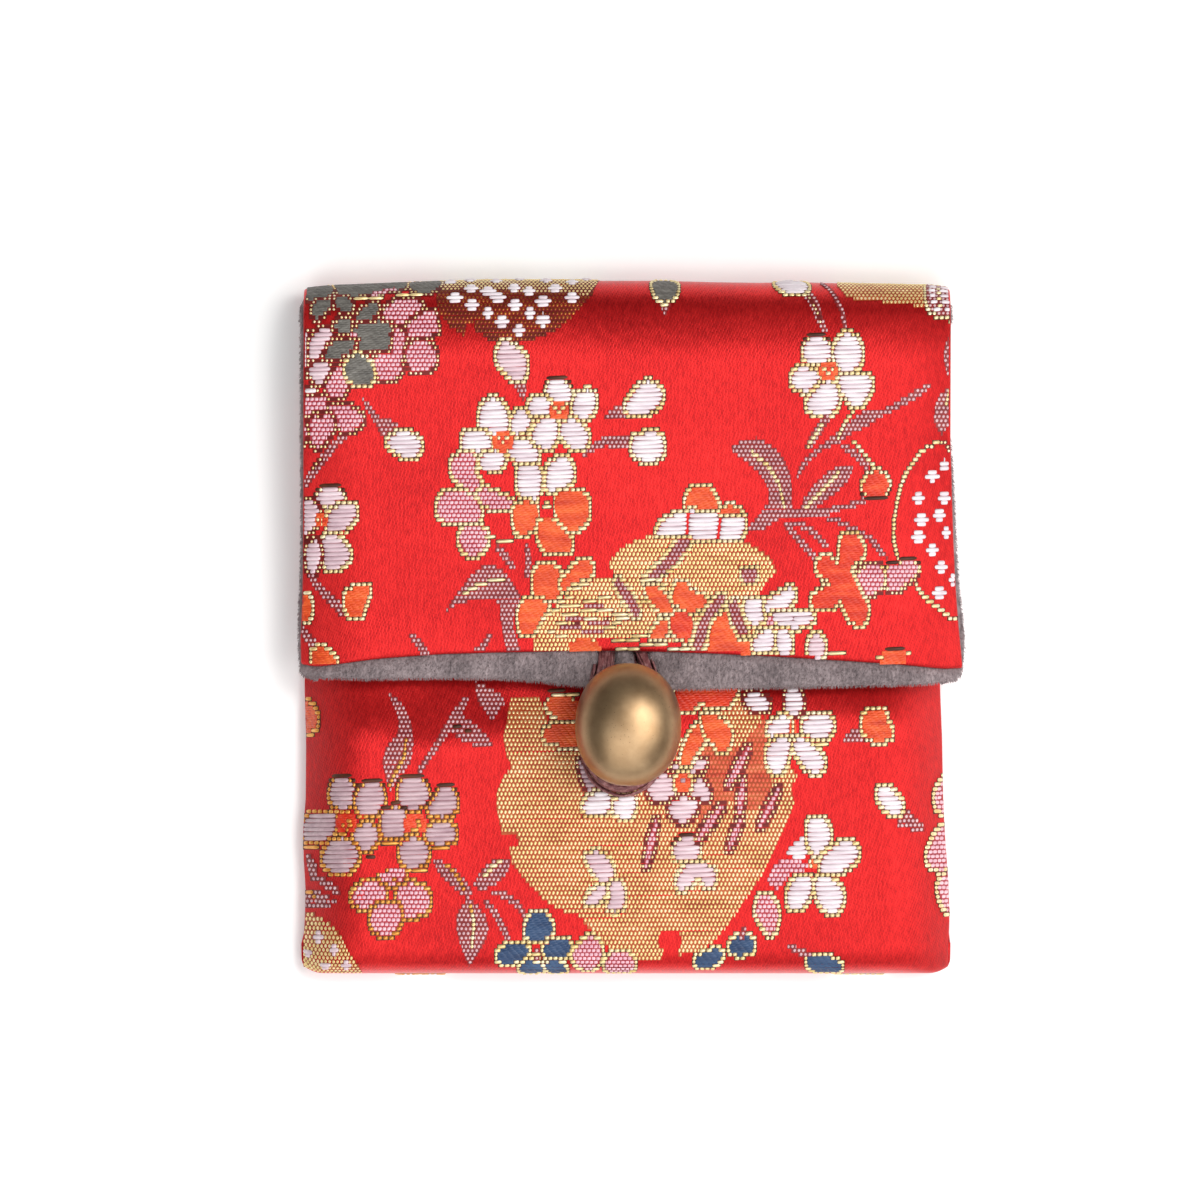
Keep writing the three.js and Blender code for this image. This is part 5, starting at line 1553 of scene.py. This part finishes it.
def button():
    nu, nv = 128, 72
    th = np.linspace(0, 2 * math.pi, nu, endpoint=False)
    ph = np.linspace(-math.pi / 2, math.pi / 2, nv)
    T, Ph = np.meshgrid(th, ph)
    e = 2 / 2.15

    def sp(v):
        return np.sign(v) * np.abs(v) ** e
    # poles up and down, so the seam is hidden
    rad = sp(np.cos(Ph))
    z = sp(np.sin(Ph))
    x = rad * sp(np.cos(T)) * BRX
    y = rad * sp(np.sin(T)) * BRY
    # a little fuller towards the lower end
    x = x * (1 + 0.020 * (-y / BRY))
    v = np.stack([BX + x, BY + y, BZ + z * BRZ], -1)
    v[..., :2] += 0.02 * np.stack([np.sin(3 * T + 1) * rad, np.cos(2 * T) * rad], -1)
    ring = v[1:-1].reshape(-1, 3)
    vs = np.vstack([ring, v[0, 0], v[-1, 0]])
    nr = nv - 2
    quads = []
    for i in range(nr - 1):
        a = np.arange(nu)
        b = (a + 1) % nu
        quads.append(np.stack([i * nu + a, i * nu + b, (i + 1) * nu + b, (i + 1) * nu + a], -1))
    quads = np.concatenate(quads)
    a = np.arange(nu)
    b = (a + 1) % nu
    s, n_ = len(ring), len(ring) + 1
    tris = np.concatenate([np.stack([b, a, np.full(nu, s)], -1), np.stack([(nr - 1) * nu + a, (nr - 1) * nu + b, np.full(nu, n_)], -1)])
    # shank: a cast eye under the button
    R, r, sz = 1.25, 0.5, 11.25
    na, nb = 40, 14
    A, Bb = np.meshgrid(np.linspace(0, 2 * math.pi, na, endpoint=False), np.linspace(0, 2 * math.pi, nb, endpoint=False), indexing="ij")
    tv = np.stack([BX + r * np.sin(Bb), BY + (R + r * np.cos(Bb)) * np.cos(A), sz + (R + r * np.cos(Bb)) * np.sin(A)], -1).reshape(-1, 3)
    off = len(vs)
    i, j = np.meshgrid(np.arange(na), np.arange(nb), indexing="ij")
    i2, j2 = (i + 1) % na, (j + 1) % nb
    tq = np.stack([i * nb + j, i * nb + j2, i2 * nb + j2, i2 * nb + j], -1).reshape(-1, 4) + off
    return make_mesh("brass_button", np.vstack([vs, tv]), [np.vstack([quads, tq]), tris], M_BRASS)


btn = button()
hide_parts("button")


def tube(line, radius, sides, closed=False):
    """plain tube; radius may be an array along the line. Returns verts, quads."""
    n = len(line)
    t = unit(np.gradient(line, axis=0)) if not closed else unit(np.roll(line, -1, 0) - np.roll(line, 1, 0))
    up = np.array([0.0, 0.0, 1.0])
    s = unit(np.cross(t, up))
    # carry the side vector along, so it never flips
    for i in range(1, n):
        c = s[i - 1] - t[i] * (s[i - 1] @ t[i])
        s[i] = c / np.linalg.norm(c)
    u = np.cross(s, t)
    radius = np.broadcast_to(radius, (n,))
    k = 2 * math.pi * np.arange(sides) / sides
    v = line[:, None] + radius[:, None, None] * (np.cos(k)[None, :, None] * s[:, None] + np.sin(k)[None, :, None] * u[:, None])
    q = []
    m = n if closed else n - 1
    i = np.arange(m)[:, None]
    j = np.arange(sides)[None, :]
    i2 = (i + 1) % n
    j2 = (j + 1) % sides
    q = np.stack(np.broadcast_arrays(i * sides + j, i * sides + j2, i2 * sides + j2, i2 * sides + j), -1).reshape(-1, 4)
    return v.reshape(-1, 3), q, s, u, t


# sewing thread: a bundle of four turns through the eye and the cloth
def sewing():
    vs, fs, base = [], [], 0
    for k in range(4):
        a = np.linspace(0, 2 * math.pi, 44, endpoint=False)
        zc, hz, hw = (11.25 + 8.55) / 2, (11.25 - 8.55) / 2, 1.3
        c, s = np.cos(a), np.sin(a)
        ox, oy = [(-0.14, -0.16), (0.14, -0.14), (-0.13, 0.15), (0.15, 0.15)][k]
        line = np.stack([BX + (hw + ox) * np.sign(c) * np.abs(c) ** 0.7, BY + oy + 0.05 * np.sin(2 * a + k), zc + (hz + ox) * np.sign(s) * np.abs(s) ** 0.7], -1)
        v, q, *_ = tube(line, 0.16, 8, closed=True)
        vs.append(v)
        fs.append(q + base)
        base += len(v)
    return make_mesh("button_sewing_thread", np.vstack(vs), np.vstack(fs), M_THREAD)


sew = sewing()
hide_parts("button_thread")


# =====================================================================
# the loop: a bundle of fine silk threads laid almost side by side
# =====================================================================
def cord():
    line = CORD_LINE
    n = len(line)
    t = unit(np.gradient(line, axis=0))
    s = unit(np.cross(t, np.array([0.0, 0.0, 1.0])))
    for i in range(1, n):
        c = s[i - 1] - t[i] * (s[i - 1] @ t[i])
        s[i] = c / np.linalg.norm(c)
    u = np.cross(s, t)
    arc = np.linspace(0, CORD_LEN, n)
    vs, fs, base = [], [], 0
    v, q, *_ = tube(line, 0.80, 14)
    vs.append(v)
    fs.append(q)
    base += len(v)
    yarns = 21
    for k in range(yarns):
        ph = 2 * math.pi * k / yarns + 0.16 * rng.normal()
        tw = arc * (0.10 + 0.015 * rng.normal()) + 0.10 * np.sin(arc * rng.uniform(0.5, 1.1) + rng.uniform(0, 6))
        rr = 0.86 + 0.035 * np.sin(arc * rng.uniform(0.7, 1.8) + rng.uniform(0, 6))
        a = ph + tw
        path = line + (np.cos(a) * rr * 1.38)[:, None] * s + (np.sin(a) * rr * 0.94)[:, None] * u
        rad = 0.135 + 0.012 * rng.normal()
        v, q, *_ = tube(path, rad, 6)
        vs.append(v)
        fs.append(q + base)
        base += len(v)
    return make_mesh("loop_cord_silk", np.vstack(vs), np.vstack(fs), M_CORD)


loop = cord()
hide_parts("loop_cord")

# =====================================================================
# floor and light
# =====================================================================
floor_mat, nt, bs = new_mat("pale_floor")
nz = node(nt, "ShaderNodeTexNoise", Scale=40.0, Detail=2.0)
nt.links.new(coords(nt), nz.inputs["Vector"])
mr = node(nt, "ShaderNodeMapRange")
mr.inputs["To Min"].default_value = 0.96
mr.inputs["To Max"].default_value = 0.98
nt.links.new(nz.outputs["Fac"], mr.inputs["Value"])
nt.links.new(mr.outputs[0], bs.inputs["Base Color"])
bs.inputs["Roughness"].default_value = 0.9
bs.inputs["Specular IOR Level"].default_value = 0.1
bs.inputs["Emission Color"].default_value = (1.0, 1.0, 1.0, 1.0)
bs.inputs["Emission Strength"].default_value = 0.16
s = 3.0
me = bpy.data.meshes.new("floor")
me.from_pydata([(-s, -s, -0.00034), (s, -s, -0.00034), (s, s, -0.00034), (-s, s, -0.00034)], [], [(0, 1, 2, 3)])
fl = bpy.data.objects.new("floor", me)
bpy.context.scene.collection.objects.link(fl)
me.materials.append(floor_mat)

world = bpy.data.worlds.new("studio")
bpy.context.scene.world = world
world.use_nodes = True
world.node_tree.nodes["Background"].inputs[0].default_value = (1.0, 1.0, 1.0, 1.0)
world.node_tree.nodes["Background"].inputs[1].default_value = 0.13


def area_light(name, loc, look, size, power, color=(1, 1, 1), size_y=None):
    ld = bpy.data.lights.new(name, "AREA")
    ld.energy = power
    ld.color = color
    ld.shape = "RECTANGLE"
    ld.size = size
    ld.size_y = size_y or size
    ob = bpy.data.objects.new(name, ld)
    bpy.context.scene.collection.objects.link(ob)
    ob.location = loc
    d = Vector(look) - Vector(loc)
    ob.rotation_euler = d.to_track_quat("-Z", "Y").to_euler()
    return ob


def radiance(lamp, value):
    """sets a lamp's power from the brightness of its face"""
    lamp.data.energy = value * math.pi * lamp.data.size * lamp.data.size_y
    lamp.visible_camera = False


radiance(area_light("overhead", (-0.04, -0.50, 0.96), (0.0, -0.01, 0.0), 1.30, 1.0, (1.0, 1.0, 1.0), 0.80), 1.95)
radiance(area_light("low_front", (-0.04, -1.02, 0.52), (0.0, -0.02, 0.0), 1.30, 1.0, (1.0, 1.0, 1.0), 0.42), 1.5)
radiance(area_light("key", (0.60, 0.02, 0.85), (0.0, 0.0, 0.0), 0.62, 1.0, (1.0, 0.99, 0.97), 0.66), 4.1)
radiance(area_light("key_high", (0.30, 0.22, 0.93), (0.0, 0.0, 0.0), 0.25, 1.0, (1.0, 0.99, 0.97), 0.34), 10.5)

bpy.context.scene.view_settings.view_transform = "Standard"
bpy.context.scene.view_settings.exposure = 0.0
bpy.context.scene.view_settings.gamma = 1.0


print("TRIS", TRIS, sum(t for _, t in TRIS))
